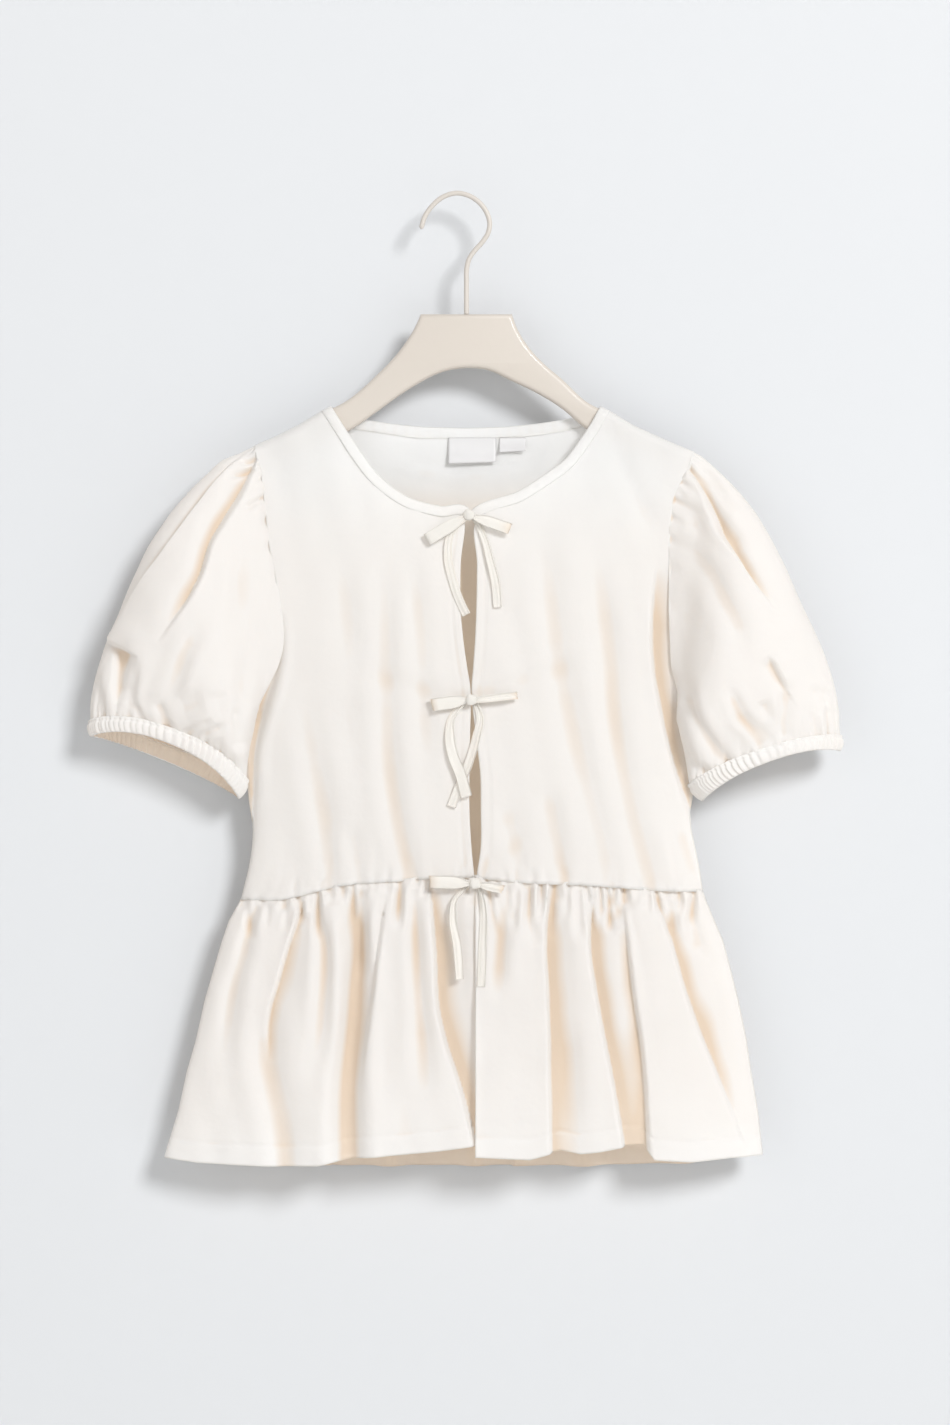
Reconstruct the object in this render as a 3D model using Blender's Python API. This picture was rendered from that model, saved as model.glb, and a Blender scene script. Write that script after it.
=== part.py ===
"""A cotton puff sleeve top on its hanger: front halves, back, sleeves, cuffs, peplum, binding and ties.

Sizes in the tables are millimetres. X runs to the viewer's right from the garment's middle line,
Y away from the viewer, Z up. The origin of the world is the point where the hook hangs.
"""

import math

import bmesh
import bpy
import numpy as np

MM = 0.001
HOOK_OFFSET = 4.0  # the garment's middle line lies this far right of the point that carries the hook

# Cloth and trims
CLOTH = 1.2
CASING = 1.6
STRIP = 1.4
TAPE = 1.0
SEAM = 0.3
SEAM_HALF = 0.2
ARMHOLE_GAP = 0.4
CUFF_GAP = 0.7
BINDING_GAP = 0.6
BINDING_WIDTH = 8.0
BINDING_SHARES = (BINDING_GAP / BINDING_WIDTH, 0.5, 1)
BINDING_LEAN = (0.2, 1, 0.2)
CUFF_BULGE = 1.2

# Shoulder roll over the hanger's arms
ROLL = 8.5
SEAM_RIDGE = 0.5
ROLL_ANGLES = (0, 30, 60, 90)
ROLL_FADE = 90.0

# Hanger
BOARD_THICKNESS = 10.0
BOARD_ROUNDING = 3.5
ARM_DROP = 2.1
WIRE_RADIUS = 2.0

# Ties, measured outwards from the front
TAIL_OUT = 1.6
LOOP_BACK_OUT = 3.7
LOOP_FRONT_OUT = 6.8
KNOT_OUT = 7.2
KNOT_SIZE = (4.4, 2.5, 4.2)
KNOT_WIDTH = 3.0
HAIRPIN_REACH = 2.6
HAIRPIN_FIT = 0.9
LOOP_BACK_SHARES = (0.35, 0.7, 0.94)
LOOP_FRONT_SHARES = (0.94, 0.7, 0.4)
LOOP_NARROWING = 0.55
LOOP_CROWN = 0.4

SLEEVE_SIDES = 60
SLEEVE_WAVES = 15
PUFF_POWER = 0.85
PROFILE_POWER = 2.2
GATHER_DEPTH = 2.4
GATHER_FADE = 60.0
FRONT_GATHERS = 12
BACK_GATHERS = 18

# Top line of the shoulders, with its slope carried on to the middle: x, z
SHOULDER = (
    (-168, -200), (-150, -192), (-132, -183), (-114, -172), (1, -115),
    (116, -172), (134, -183), (150, -190.5), (167, -198), (184, -205),
)
# Back neck edge: x, z
BACK_NECK = (
    (-113, -172.6), (-111.5, -175), (-109.5, -178.3), (-100, -182.5), (-80, -187), (-60, -190),
    (-35, -192.5), (0, -193.5), (35, -192.5), (60, -190), (80, -187), (102, -182.5), (111.5, -178.3),
    (113.5, -175), (115, -172.6),
)
# Half widths of the hanging body and how far front and back stand off: z, left, right, front, back
BODY = (
    (-780, 242, 240, 33, 27), (-768, 240, 239, 33, 27), (-732, 229, 235, 32, 26), (-700, 222, 229.5, 30, 25),
    (-676, 215, 226, 29, 24), (-644, 208, 219.5, 28, 22), (-620, 201, 213.5, 27, 21), (-596, 194, 207, 26, 20),
    (-580, 188.5, 200, 25, 18), (-563, 179, 193, 22, 16), (-556, 177, 191, 21, 15.5), (-532, 171, 188, 20, 15),
    (-508, 168.5, 183, 21, 15), (-472, 168.5, 175.5, 22, 16), (-452, 168.5, 172, 22, 16),
    (-416, 166.5, 169.5, 21, 16), (-388, 176, 174, 20, 15), (-356, 192, 182, 19, 14),
    (-300, 206, 196, 17, 13), (-172, 220, 214, 10, 10),
)
# Waist seam: x, z
WAIST = (
    (-179, -563), (-148, -563.5), (-132, -560), (-116, -556), (-100, -552), (-84, -550), (-52, -548),
    (-28, -546), (8, -545), (31, -548), (60, -550), (92, -551), (132, -554), (156, -556), (191, -557),
)
BACK_WAIST = ((-179, -563), (-100, -558), (0, -556), (100, -555.5), (191, -557))
# Front halves below the shoulder roll: armhole or side x, z, then neck or centre edge x, z
FRONT_LEFT = (
    (-165, -214, -100, -194), (-162, -227, -88, -212), (-160, -244, -72, -232), (-158, -262, -48, -249),
    (-156, -280, -20, -257), (-152, -300, -0.5, -258.5), (-147, -330, -3, -295), (-145, -356, -3, -330),
    (-149, -375, -1, -355), (-156, -390, 2, -377), (-166, -416, 5, -398), (-168, -452, 4.5, -432),
    (-168.5, -480, 4, -462), (-168.5, -508, 4, -492), (-172, -534, 5.5, -520), (-179, -563, 8, -545),
)
FRONT_RIGHT = (
    (179.5, -219, 107, -188), (173, -229, 99, -200), (167, -242, 86, -217), (165, -256, 69, -230),
    (164, -272, 45, -245), (164, -300, 10, -259.5), (164, -330, 10, -295), (165, -356, 9.5, -330),
    (166, -375, 8.5, -355), (167, -392, 7, -377), (169, -416, 5.8, -398), (171.5, -452, 9, -432),
    (175.5, -476, 12.5, -462), (180.5, -500, 13, -492), (186, -528, 13, -520), (191, -557, 9.5, -545.5),
)
# Back below the shoulder roll: left x, z, right x, z, and how much of the top line's shape is left
BACK = (
    (-165, -218, 180, -221, 0.85), (-163, -236, 176, -238, 0.65), (-161, -262, 173, -262, 0.3),
    (-159, -295, 170, -295, 0), (-158, -350, 167, -350, 0), (-161, -388, 167.5, -388, 0),
    (-166, -416, 169, -416, 0), (-168, -452, 171.5, -452, 0), (-168.5, -508, 182, -508, 0),
    (-172, -536, 187.5, -534, 0),
    (-179, -563, 191, -557, 0),
)
NECK_ROWS = 6
UNDERARM_Z = -416
BACK_COLUMNS = (
    -168, -159, -150, -141, -132, -123, -114, -113, -111.5, -109.5, -100, -80, -60, -35, 0, 35, 60, 80, 102,
    111.5, 113.5, 115, 116, 125, 134, 142, 150, 158, 167, 176, 184,
)
# Soft valleys of the bodice front: x and z at the top, x and z at the foot, depth, half width
FRONT_SOFT_FOLDS = (
    (104, -268, 145, -545, 2.4, 9), (124, -205, 150, -275, 1.6, 9), (82, -482, 98, -545, 1.4, 8),
    (36, -484, 46, -545, 1.2, 8), (-62, -276, -46, -545, 1.6, 10), (-28, -292, -20, -364, 1.0, 8),
)
# Sleeve rungs: outer x, z, inner x, z, stand-off in front and behind, set-in in front and behind, ripple
SLEEVE_LEFT = (
    (-178, -204.5, -167.4, -419, 19, 13, 13, 8, 1.6),
    (-200, -218, -168.4, -425, 33, 19, 2, 2, 1.2),
    (-230, -247, -169.6, -432, 42, 25, 0, 0, 0.4),
    (-258, -290, -171, -439, 45, 27, 1, 0, 0.3),
    (-278, -336, -172, -447, 42, 26, 4, 0, 0.3),
    (-291, -372, -173, -455, 37, 24, 9, 1, 0.6),
    (-298, -403, -173.4, -462, 31, 21, 15, 2, 1.2),
    (-299.5, -421, -173.6, -468.5, 25, 17, 18, 3, 1.4),
)
SLEEVE_RIGHT = (
    (194, -211.5, 170.6, -419, 18, 13, 3, 3, 1.6),
    (213, -229, 171.8, -425, 32, 19, 0, 0, 1.2),
    (236, -260, 173.2, -433, 42, 25, 0, 0, 0.4),
    (257, -298, 174.8, -441, 45, 27, 0, 0, 0.3),
    (275, -338, 176.2, -449, 42, 26, 2, 2, 0.3),
    (290, -374, 177.6, -457, 37, 24, 5, 5, 0.6),
    (298, -406, 178.8, -465, 31, 21, 8, 8, 1.2),
    (301, -433, 179.8, -472, 25, 17, 10, 10, 1.4),
)
HEAD_RUNGS = 2
# Cuff mouth: outer x, z, inner x, z, stand-off in front and behind, set-in in front and behind, ripple
CUFF_LEFT = (-298.5, -433, -181, -482.5, 25, 17, 20, 4, 1.4)
CUFF_RIGHT = (300, -444.5, 191, -484, 25, 17, 12, 12, 1.4)
# Long soft sleeve creases: angle round the tube at the head and at the cuff, depth, half width in degrees
SLEEVE_CREASES = (
    (32, 40, 3.2, 9), (62, 66, 3.6, 10), (96, 104, 2.4, 9), (128, 132, 2.0, 9), (300, 304, 3.0, 11),
    (248, 252, 2.6, 11),
)

# Peplum valleys: x at the waist, half way down and at the hem, depth, half width
PEPLUM_LEFT_FOLDS = (
    (-170, -184, -190, 3.0, 7), (-132, -150, -137, 7.5, 9), (-118, -113, -112, 4.5, 7), (-92, -89, -93, 13, 8),
    (-61, -70, -80, 3.5, 7), (-40, -37, -26, 4.5, 8), (-12, -12, 2, 13, 9),
)
PEPLUM_RIGHT_FOLDS = (
    (32, 26, 26, 3.5, 7), (54, 57, 60, 3.0, 6), (70, 67, 71, 10, 9), (99, 101, 104, 3.0, 6),
    (112, 115, 131, 12, 11), (129, 138, 150, 4.5, 8), (149, 176, 224, 6.5, 10), (167, 166, 172, 2.5, 5),
)
PEPLUM_BACK_FOLDS = (
    (-150, -166, -178, 6, 10), (-118, -124, -132, 9, 11), (-84, -86, -90, 6, 9), (-52, -54, -60, 10, 10),
    (-18, -20, -26, 5, 9), (14, 12, 8, 9, 10), (46, 50, 50, 6, 9), (80, 86, 94, 10, 11), (112, 120, 130, 5, 9),
    (146, 162, 178, 8, 11),
)
# Hems: x, z
HEM_LEFT = (
    (-240, -769), (-212, -772), (-180, -773), (-148, -774), (-116, -773), (-104, -770), (-85, -767),
    (-52, -764), (-20, -761), (8, -757),
)
HEM_RIGHT = (
    (10, -766), (52, -768), (66, -764), (76, -761), (92, -764), (108, -762), (128, -758), (143, -758),
    (151, -769), (180, -771), (212, -768), (239, -767),
)
HEM_BACK = ((-240, -769), (-180, -776), (-100, -779), (0, -779), (100, -779), (180, -776), (239, -767))
PEPLUM_MIDDLE_Z = -660
FOLD_HEAD_Z = -550
FOLD_FOOT_Z = -780
WAIST_Z = -560  # where a panel's ends are taken for its waist edge
HEM_Z = -770
FOLDS_OPEN_IN = 45.0
FOLDS_WIDEN_IN = 150.0
HEAD_DEPTH_SHARE = 0.25
HEAD_WIDTH_SHARE = 0.6
PEPLUM_ROWS = (0, 0.05, 0.14, 0.33, 0.64, 1)
FRONT_COLUMNS = 49
BACK_PEPLUM_COLUMNS = 73
BODICE_COLUMNS = 13
PEPLUM_EDGE_LEFT = 7.0
PEPLUM_EDGE_RIGHT = 10.5

# Ties. Knot x, z; then a strip to each side: loop tip x, z, loop width; tail from its end x, z, lift, width
BOWS = (
    ("tie_top", (3.6, -256.4), {
        "left": ((-30, -276.4), 10.0, ((1.2, -336, 0, 6.5), (-3.6, -326, 0, 6.5), (-10, -307, 0, 6.5),
                                       (-13.4, -289, 0, 6), (-11.5, -272, 0, 5), (-5, -262.5, 0, 3.6))),
        "right": ((36.4, -267.6), 8.5, ((26.8, -330, 0, 6.5), (25.2, -311.6, 0, 6.5), (20.4, -291.6, 0, 6),
                                        (15.6, -274, 0, 5), (10.6, -263, 0, 3.6))),
    }),
    ("tie_middle", (5.2, -403.6), {
        "left": ((-26, -407.6), 9.6, ((2, -480.4, 2.1, 8.5), (-2.8, -462.8, 2.1, 8.5), (-9, -447, 1.9, 8),
                                      (-11.4, -431.6, 1.3, 7), (-9.5, -418, 0.3, 5), (-3.2, -409.4, 0, 3.6))),
        "right": ((42, -399.6), 5.5, ((-10, -488.4, 0, 6.5), (-3.6, -471.6, 0, 6.5), (3.6, -454, 0, 6.5),
                                      (10, -432.4, 0, 6), (13, -417.6, 0, 5), (10.8, -409, 0, 3.6))),
    }),
    ("tie_waist", (8.4, -549.2), {
        "left": ((-27.6, -547.6), 9.5, ((-3.6, -625.2, 0, 6.5), (-6, -597.2, 0, 6.5), (-9.2, -575.6, 0, 6),
                                        (-7.6, -562, 0, 4.6), (-1.5, -555, 0, 3.6))),
        "right": ((30.8, -554), 7.0, ((13.2, -630.8, 0, 6.5), (14.4, -597.2, 0, 6.5), (15, -572.4, 0, 5.5),
                                      (13.4, -558.6, 0, 3.6))),
    }),
)
# A point well inside the neck hole and the shoulders' direction, as x, z
NECK_HOLE = (0, -100)
SHOULDER_RUN = (0.896, 0.444)
# Labels at the back neck: left x, right x, top z, height
NECK_LABEL = (-13, 25, -196, 19)
SIZE_LABEL = (28, 49, -196, 9.5)
LABEL_GAP = 0.4

# Hanger board from the collar outwards, as x, z: left upper edge, right upper edge, left and right lower edges
BOARD_TOP_LEFT = ((-35, -95), (-40.5, -107), (-48.5, -119.5), (-59.5, -133), (-68, -141.5), (-97, -165.9))
BOARD_TOP_RIGHT = ((38, -95), (42, -106), (50, -119.5), (64.5, -135.5), (77, -146), (100, -166.6))
BOARD_LOW = (
    (3, -138), (-20, -142), (-36, -150), (-52, -160), (-68, -171.5), (-92, -188), (-115, -200), (-138, -209),
    (-156, -211), (-163, -205),
)
BOARD_LOW_RIGHT = (
    (177, -209), (170, -215), (150, -212), (122, -200), (98, -187), (76, -169), (56, -157),
    (36, -147.5), (20, -140),
)
ARM_TOP_X = (-160, -150, -132, -114)
ARM_TOP_X_RIGHT = (116, 134, 150, 167)
# Hook wire from its tip down to the board: x, z
HOOK = (
    (-34.8, -26.8), (-31.6, -16.4), (-26, -8.4), (-17.5, -1.2), (-5.6, 2.1), (4.4, -0.4), (12.4, -6), (18, -14),
    (20.2, -22), (18.8, -30), (14.8, -36.5), (9, -43), (4, -50), (1.8, -58), (1.6, -70), (1.6, -94.7),
)
HOOK_POINTS = 34


def clear_scene():
    """Takes everything out of the startup scene."""
    for thing in list(bpy.data.objects):
        bpy.data.objects.remove(thing, do_unlink=True)


def finish_of(name, colour, roughness, metallic=0.0, sheen=0.0):
    """A plain surface with its linear colour."""
    material = bpy.data.materials.new(name)
    material.use_nodes = True
    shader = material.node_tree.nodes["Principled BSDF"]
    shader.inputs["Base Color"].default_value = (*colour, 1.0)
    shader.inputs["Roughness"].default_value = roughness
    shader.inputs["Metallic"].default_value = metallic
    shader.inputs["Sheen Weight"].default_value = sheen
    material.diffuse_color = (*colour, 1.0)
    return material


def through(rows, key, column=1):
    """Straight-line value of a column at a key, for a table whose first column rises."""
    table = np.array(rows, float)
    return np.interp(key, table[:, 0], table[:, column])


def smooth_through(keys, values, wanted):
    """Values on a smooth curve through the rows of a table, one column or several."""
    keys = np.asarray(keys, float)
    values = np.asarray(values, float)
    slopes = np.gradient(values, keys, axis=0)
    wanted = np.clip(wanted, keys[0], keys[-1])
    at = np.clip(np.searchsorted(keys, wanted) - 1, 0, len(keys) - 2)
    span = keys[at + 1] - keys[at]
    t = (wanted - keys[at]) / span
    if values.ndim > 1:
        span = span[:, None]
        t = t[:, None]
    rise = 3 * t**2 - 2 * t**3
    start = (t**3 - 2 * t**2 + t) * span * slopes[at]
    end = (t**3 - t**2) * span * slopes[at + 1]
    return values[at] * (1 - rise) + values[at + 1] * rise + start + end


def smooth_path(points, count):
    """The same route with evenly spread points on a smooth curve."""
    points = np.array(points, float)
    steps = np.linalg.norm(np.diff(points[:, :3], axis=0), axis=1)
    reached = np.concatenate([[0], np.cumsum(steps)])
    return smooth_through(reached, points, np.linspace(0, reached[-1], count))


def ease(value):
    """A soft step from 0 to 1."""
    value = np.clip(value, 0, 1)
    return value * value * (3 - 2 * value)


def body_at(z, column):
    """One column of the hanging body's table at a height."""
    return through(BODY, z, column)


def stand_off(x, z, column):
    """How far the hanging cloth lies from the middle plane, in front (column 3) or behind (column 4)."""
    half = body_at(z, 1) if x < 0 else body_at(z, 2)
    across = min(abs(x) / half, 1.0)
    bulge = body_at(z, column) * (1 - across**PROFILE_POWER) ** (1 / PROFILE_POWER)
    drop = max(through(SHOULDER, x) - z, 0.0)
    rest = 1 - min(drop / ROLL, 1.0)
    rolled = SEAM_RIDGE + (ROLL - SEAM_RIDGE) * math.sqrt(1 - rest * rest)
    settled = rolled + (bulge - ROLL) * ease((drop - ROLL) / ROLL_FADE)
    return max(settled, SEAM_HALF)


def valley(offset, half_width):
    """The cross-section of a soft valley, 1 at its middle."""
    return math.exp(-((offset / half_width) ** 2))


def soft_folds(x, z):
    """Depth of the bodice front's soft valleys at a point."""
    total = 0.0
    for top_x, top_z, foot_x, foot_z, depth, half in FRONT_SOFT_FOLDS:
        down = (top_z - z) / (top_z - foot_z)
        if -0.2 < down < 1.2:
            fade = ease((down + 0.2) / 0.4) * ease((1.2 - down) / 0.2)
            total += depth * fade * valley(x - top_x - (foot_x - top_x) * down, half)
    return total


def front_y(x, z):
    """The place of the front's outer face, with its soft valleys."""
    drop = through(SHOULDER, x) - z
    return -stand_off(x, z, 3) + soft_folds(x, z) * ease((drop - ROLL) / ROLL_FADE)


def back_y(x, z):
    return stand_off(x, z, 4)


def unit(vectors):
    """The same directions, each of length 1."""
    return vectors / np.linalg.norm(vectors, axis=-1, keepdims=True)


def grid_normals(grid, closed):
    """Directions square to a grid of points."""
    if closed:
        across = np.roll(grid, -1, axis=1) - np.roll(grid, 1, axis=1)
    else:
        across = np.gradient(grid, axis=1)
    return unit(np.cross(across, np.gradient(grid, axis=0)))


def add_object(name, mesh, material, smooth_angle=50):
    thing = bpy.data.objects.new(name, mesh)
    bpy.context.scene.collection.objects.link(thing)
    thing.parent = bpy.data.objects["garment_middle"]
    mesh.materials.append(material)
    mesh.shade_smooth()
    mesh.set_sharp_from_angle(angle=math.radians(smooth_angle))
    return thing


def wall(name, grid, material, thickness=CLOTH, facing=None, closed=False, square=()):
    """A cloth piece: outer points in rows and columns, with a wall of even thickness inside them.

    Each entry of square is rows, columns and an axis along which that edge of the wall doesn't lean.
    """
    outer = np.array(grid, float)
    normals = grid_normals(outer, closed)
    away = outer - outer.mean(axis=1, keepdims=True) if facing is None else np.array(facing, float)
    if (normals * away).sum() < 0:
        normals = -normals
    for rows, columns, axis in square:
        normals[rows, columns, axis] = 0
    inner = outer - thickness * unit(normals)
    row_count, column_count = outer.shape[:2]
    shape = bmesh.new()
    layers = []
    for layer in (outer, inner):
        layers.append([[shape.verts.new(point * MM) for point in row] for row in layer])
    last = column_count if closed else column_count - 1
    for i in range(row_count - 1):
        for j in range(last):
            k = (j + 1) % column_count
            shape.faces.new((layers[0][i][j], layers[0][i][k], layers[0][i + 1][k], layers[0][i + 1][j]))
            shape.faces.new((layers[1][i][j], layers[1][i + 1][j], layers[1][i + 1][k], layers[1][i][k]))
    for i in (0, row_count - 1):
        for j in range(last):
            k = (j + 1) % column_count
            shape.faces.new((layers[0][i][j], layers[0][i][k], layers[1][i][k], layers[1][i][j]))
    if not closed:
        for j in (0, column_count - 1):
            for i in range(row_count - 1):
                shape.faces.new((layers[0][i][j], layers[0][i + 1][j], layers[1][i + 1][j], layers[1][i][j]))
    bmesh.ops.recalc_face_normals(shape, faces=shape.faces)
    mesh = bpy.data.meshes.new(name)
    shape.to_mesh(mesh)
    shape.free()
    return add_object(name, mesh, material)


def roll_drops():
    """Heights of the rows that roll over the shoulder, below the top line."""
    return [ROLL * (1 - math.cos(math.radians(angle))) for angle in ROLL_ANGLES]


def front_half(name, rows, tip_x, neck_x, columns, material):
    """A front half from the shoulder seam to the waist seam. Gives its armhole, neck and waist edges."""
    tip_z = through(SHOULDER, tip_x)
    neck_z = through(SHOULDER, neck_x)
    lean = (rows[0][2] - neck_x) / (neck_z - rows[0][3])
    first = rows[0]
    edges = []
    for drop in roll_drops():
        share = drop / (tip_z - first[1])
        edges.append((tip_x + (first[0] - tip_x) * share, tip_z - drop, neck_x + lean * drop, neck_z - drop))
    edges += list(rows)
    seam_rows = len(ROLL_ANGLES)
    grid = []
    for i, (side_x, side_z, centre_x, centre_z) in enumerate(edges):
        top_shape = 1 - ease((i - seam_rows + 1) / 5)
        waist_shape = ease((i - len(edges) + 7) / 6)
        line = []
        for across in np.linspace(0, 1, columns):
            x = side_x + (centre_x - side_x) * across
            z = side_z + (centre_z - side_z) * across
            top_x = tip_x + (neck_x - tip_x) * across
            z += top_shape * (through(SHOULDER, top_x) - (tip_z + (neck_z - tip_z) * across))
            waist_x = rows[-1][0] + (rows[-1][2] - rows[-1][0]) * across
            straight = rows[-1][1] + (rows[-1][3] - rows[-1][1]) * across
            z += waist_shape * (through(WAIST, waist_x) - straight)
            line.append((x, front_y(x, z), z))
        grid.append(line)
    grid = np.array(grid)
    grid[-1, :, 2] += SEAM_HALF
    armhole = [i for i, row in enumerate(edges) if row[1] > UNDERARM_Z]
    side = [i for i, row in enumerate(edges) if row[1] <= UNDERARM_Z]
    grid[side, 0, 1] = -SEAM_HALF
    square = [(armhole, 0, 0), (side, 0, 1), (slice(None), -1, 0), (-1, slice(None), 2)]
    wall(name, grid, material, facing=(0, -1, 0), square=square)
    neck_rows = seam_rows + NECK_ROWS
    return grid[: len(armhole) + 1, 0], grid[:neck_rows, -1], grid[-1]


def back_piece(material):
    """The back in one piece. Gives its left and right armhole, neck and waist edges."""
    left_tip, right_tip = BACK_COLUMNS[0], BACK_COLUMNS[-1]
    top_line = sorted(SHOULDER[:4] + BACK_NECK + SHOULDER[5:])
    left_z = through(SHOULDER, left_tip)
    right_z = through(SHOULDER, right_tip)
    first = BACK[0]
    edges = []
    for drop in roll_drops():
        left_x = left_tip + (first[0] - left_tip) * drop / (left_z - first[1])
        right_x = right_tip + (first[2] - right_tip) * drop / (right_z - first[3])
        edges.append((left_x, left_z - drop, right_x, right_z - drop, 1.0))
    edges += list(BACK)
    grid = []
    for i, (left_x, left_row_z, right_x, right_row_z, top_shape) in enumerate(edges):
        waist_shape = ease((i - len(edges) + 5) / 4)
        line = []
        for column_x in BACK_COLUMNS:
            across = (column_x - left_tip) / (right_tip - left_tip)
            x = left_x + (right_x - left_x) * across
            z = left_row_z + (right_row_z - left_row_z) * across
            z += top_shape * (through(top_line, column_x) - (left_z + (right_z - left_z) * across))
            z += waist_shape * (through(BACK_WAIST, x) - (BACK[-1][1] + (BACK[-1][3] - BACK[-1][1]) * across))
            line.append((x, back_y(x, z), z))
        grid.append(line)
    grid = np.array(grid)
    grid[-1, :, 2] += SEAM_HALF
    armhole = [i for i, row in enumerate(edges) if row[1] > UNDERARM_Z]
    side = [i for i, row in enumerate(edges) if row[1] <= UNDERARM_Z]
    square = [(-1, slice(None), 2)]
    for column in (0, -1):
        grid[side, column, 1] = SEAM_HALF
        square += [(armhole, column, 0), (side, column, 1)]
    wall("back", grid, material, facing=(0, 1, 0), square=square)
    neck = [j for j, x in enumerate(BACK_COLUMNS) if SHOULDER[3][0] <= x <= SHOULDER[5][0]]
    reach = len(armhole) + 1
    return grid[:reach, 0], grid[:reach, -1], grid[0, neck], grid[-1]


def share_along(edge, shares):
    """Points at these shares of an edge's length."""
    steps = np.linalg.norm(np.diff(edge, axis=0), axis=1)
    reached = np.concatenate([[0], np.cumsum(steps)])
    return np.stack([np.interp(shares * reached[-1], reached, edge[:, axis]) for axis in range(3)], axis=1)


def puff_round():
    """Angle, reach from the upper to the lower outline and reach to the front, round a sleeve."""
    angle = np.arange(SLEEVE_SIDES) * 2 * math.pi / SLEEVE_SIDES
    upright = np.sign(np.cos(angle)) * np.abs(np.cos(angle)) ** PUFF_POWER
    forward = np.sign(np.sin(angle)) * np.abs(np.sin(angle)) ** PUFF_POWER
    return angle, upright, forward


def sleeve_ring(rung, side, ripple_share):
    """Points round the sleeve at one rung, from its upper outline over the front to its inner edge."""
    outer_x, outer_z, inner_x, inner_z, front, back, front_in, back_in, ripple = rung
    angle, upright, forward = puff_round()
    centre = np.array(((outer_x + inner_x) / 2, (outer_z + inner_z) / 2))
    reach = np.array(((outer_x - inner_x) / 2, (outer_z - inner_z) / 2))
    length = np.linalg.norm(reach)
    inwards = -side * np.array((reach[1], -reach[0])) / length
    depth = np.where(forward > 0, front, back)
    set_in = np.where(forward > 0, front_in, back_in) * forward**2
    out = unit(np.stack([upright / length, forward / depth], axis=1))
    wave = ripple * ripple_share * (np.cos(SLEEVE_WAVES * angle) - 1)
    flat = centre + reach * upright[:, None] + inwards * set_in[:, None]
    flat = flat + reach / length * (out[:, 0] * wave)[:, None]
    y = -depth * forward - out[:, 1] * wave
    return np.stack([flat[:, 0], y, flat[:, 1]], axis=1)


def crease_depth(down):
    """Inward depth of the long creases round the sleeve, at a share of the way from head to cuff."""
    degrees = np.degrees(puff_round()[0])
    total = np.zeros(SLEEVE_SIDES)
    for head, cuff, depth, half in SLEEVE_CREASES:
        off = (degrees - head - (cuff - head) * down + 180) % 360 - 180
        total += depth * np.exp(-((off / half) ** 2)) * math.sin(math.pi * down) ** 0.8
    return total


def sleeve(name, side, front_edge, back_edge, rungs, cuff, cloth, casing_name):
    """A sleeve from its armhole to the cuff's seam, and the cuff's elastic casing below it."""
    angle, upright, _ = puff_round()
    half = SLEEVE_SIDES // 2
    shares = (1 - upright) / 2
    first = np.concatenate([share_along(front_edge, shares[:half]), share_along(back_edge, shares[half:])])
    first[half] = front_edge[-1]
    first[:, 0] += side * ARMHOLE_GAP
    first[0, 2] = front_edge[0][2]
    first[0, 1] = 0
    rings = [first]
    for i, rung in enumerate(rungs):
        head = i < HEAD_RUNGS
        ring = sleeve_ring(rung, side, (1 + np.cos(angle)) / 2 if head else np.ones(SLEEVE_SIDES))
        middle = ring.mean(axis=0)
        down = (i + 1) / len(rungs)
        ring = ring - unit(ring - middle) * crease_depth(down)[:, None]
        rings.append(ring)
    wall(name, rings, cloth, closed=True, square=[(0, slice(None), 0)])
    seam = sleeve_ring(rungs[-1], side, 1.0)
    mouth = sleeve_ring(cuff, side, 1.0)
    down = unit(mouth - seam)
    seam = seam + down * CUFF_GAP
    middle = (seam + mouth) / 2
    centre = middle.mean(axis=0)
    middle = middle + unit(middle - centre) * CUFF_BULGE
    wall(casing_name, [seam, middle, mouth], cloth, thickness=CASING, closed=True)


def gathers(across, count, below):
    """Depth of the small gathers under the waist seam, uneven in depth and run."""
    phase = across * count * 2 * math.pi + 0.9 * math.sin(across * 9.0)
    uneven = 0.75 + 0.25 * math.sin(across * 23.0 + 1.0)
    return GATHER_DEPTH * uneven * (0.5 - 0.5 * math.cos(phase)) * math.exp(-below / GATHER_FADE)


def peplum_depth(x, z, waist_z, folds):
    """Depth of the peplum's valleys at a point."""
    total = 0.0
    opened = HEAD_DEPTH_SHARE + (1 - HEAD_DEPTH_SHARE) * ease((waist_z - z) / FOLDS_OPEN_IN)
    spread = HEAD_WIDTH_SHARE + (1 - HEAD_WIDTH_SHARE) * ease((waist_z - z) / FOLDS_WIDEN_IN)
    for top_x, middle_x, hem_x, depth, half in folds:
        line = ((FOLD_FOOT_Z, hem_x), (PEPLUM_MIDDLE_Z, middle_x), (FOLD_HEAD_Z, top_x))
        total += depth * opened * valley(x - through(line, z), half * spread)
    return total


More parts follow.
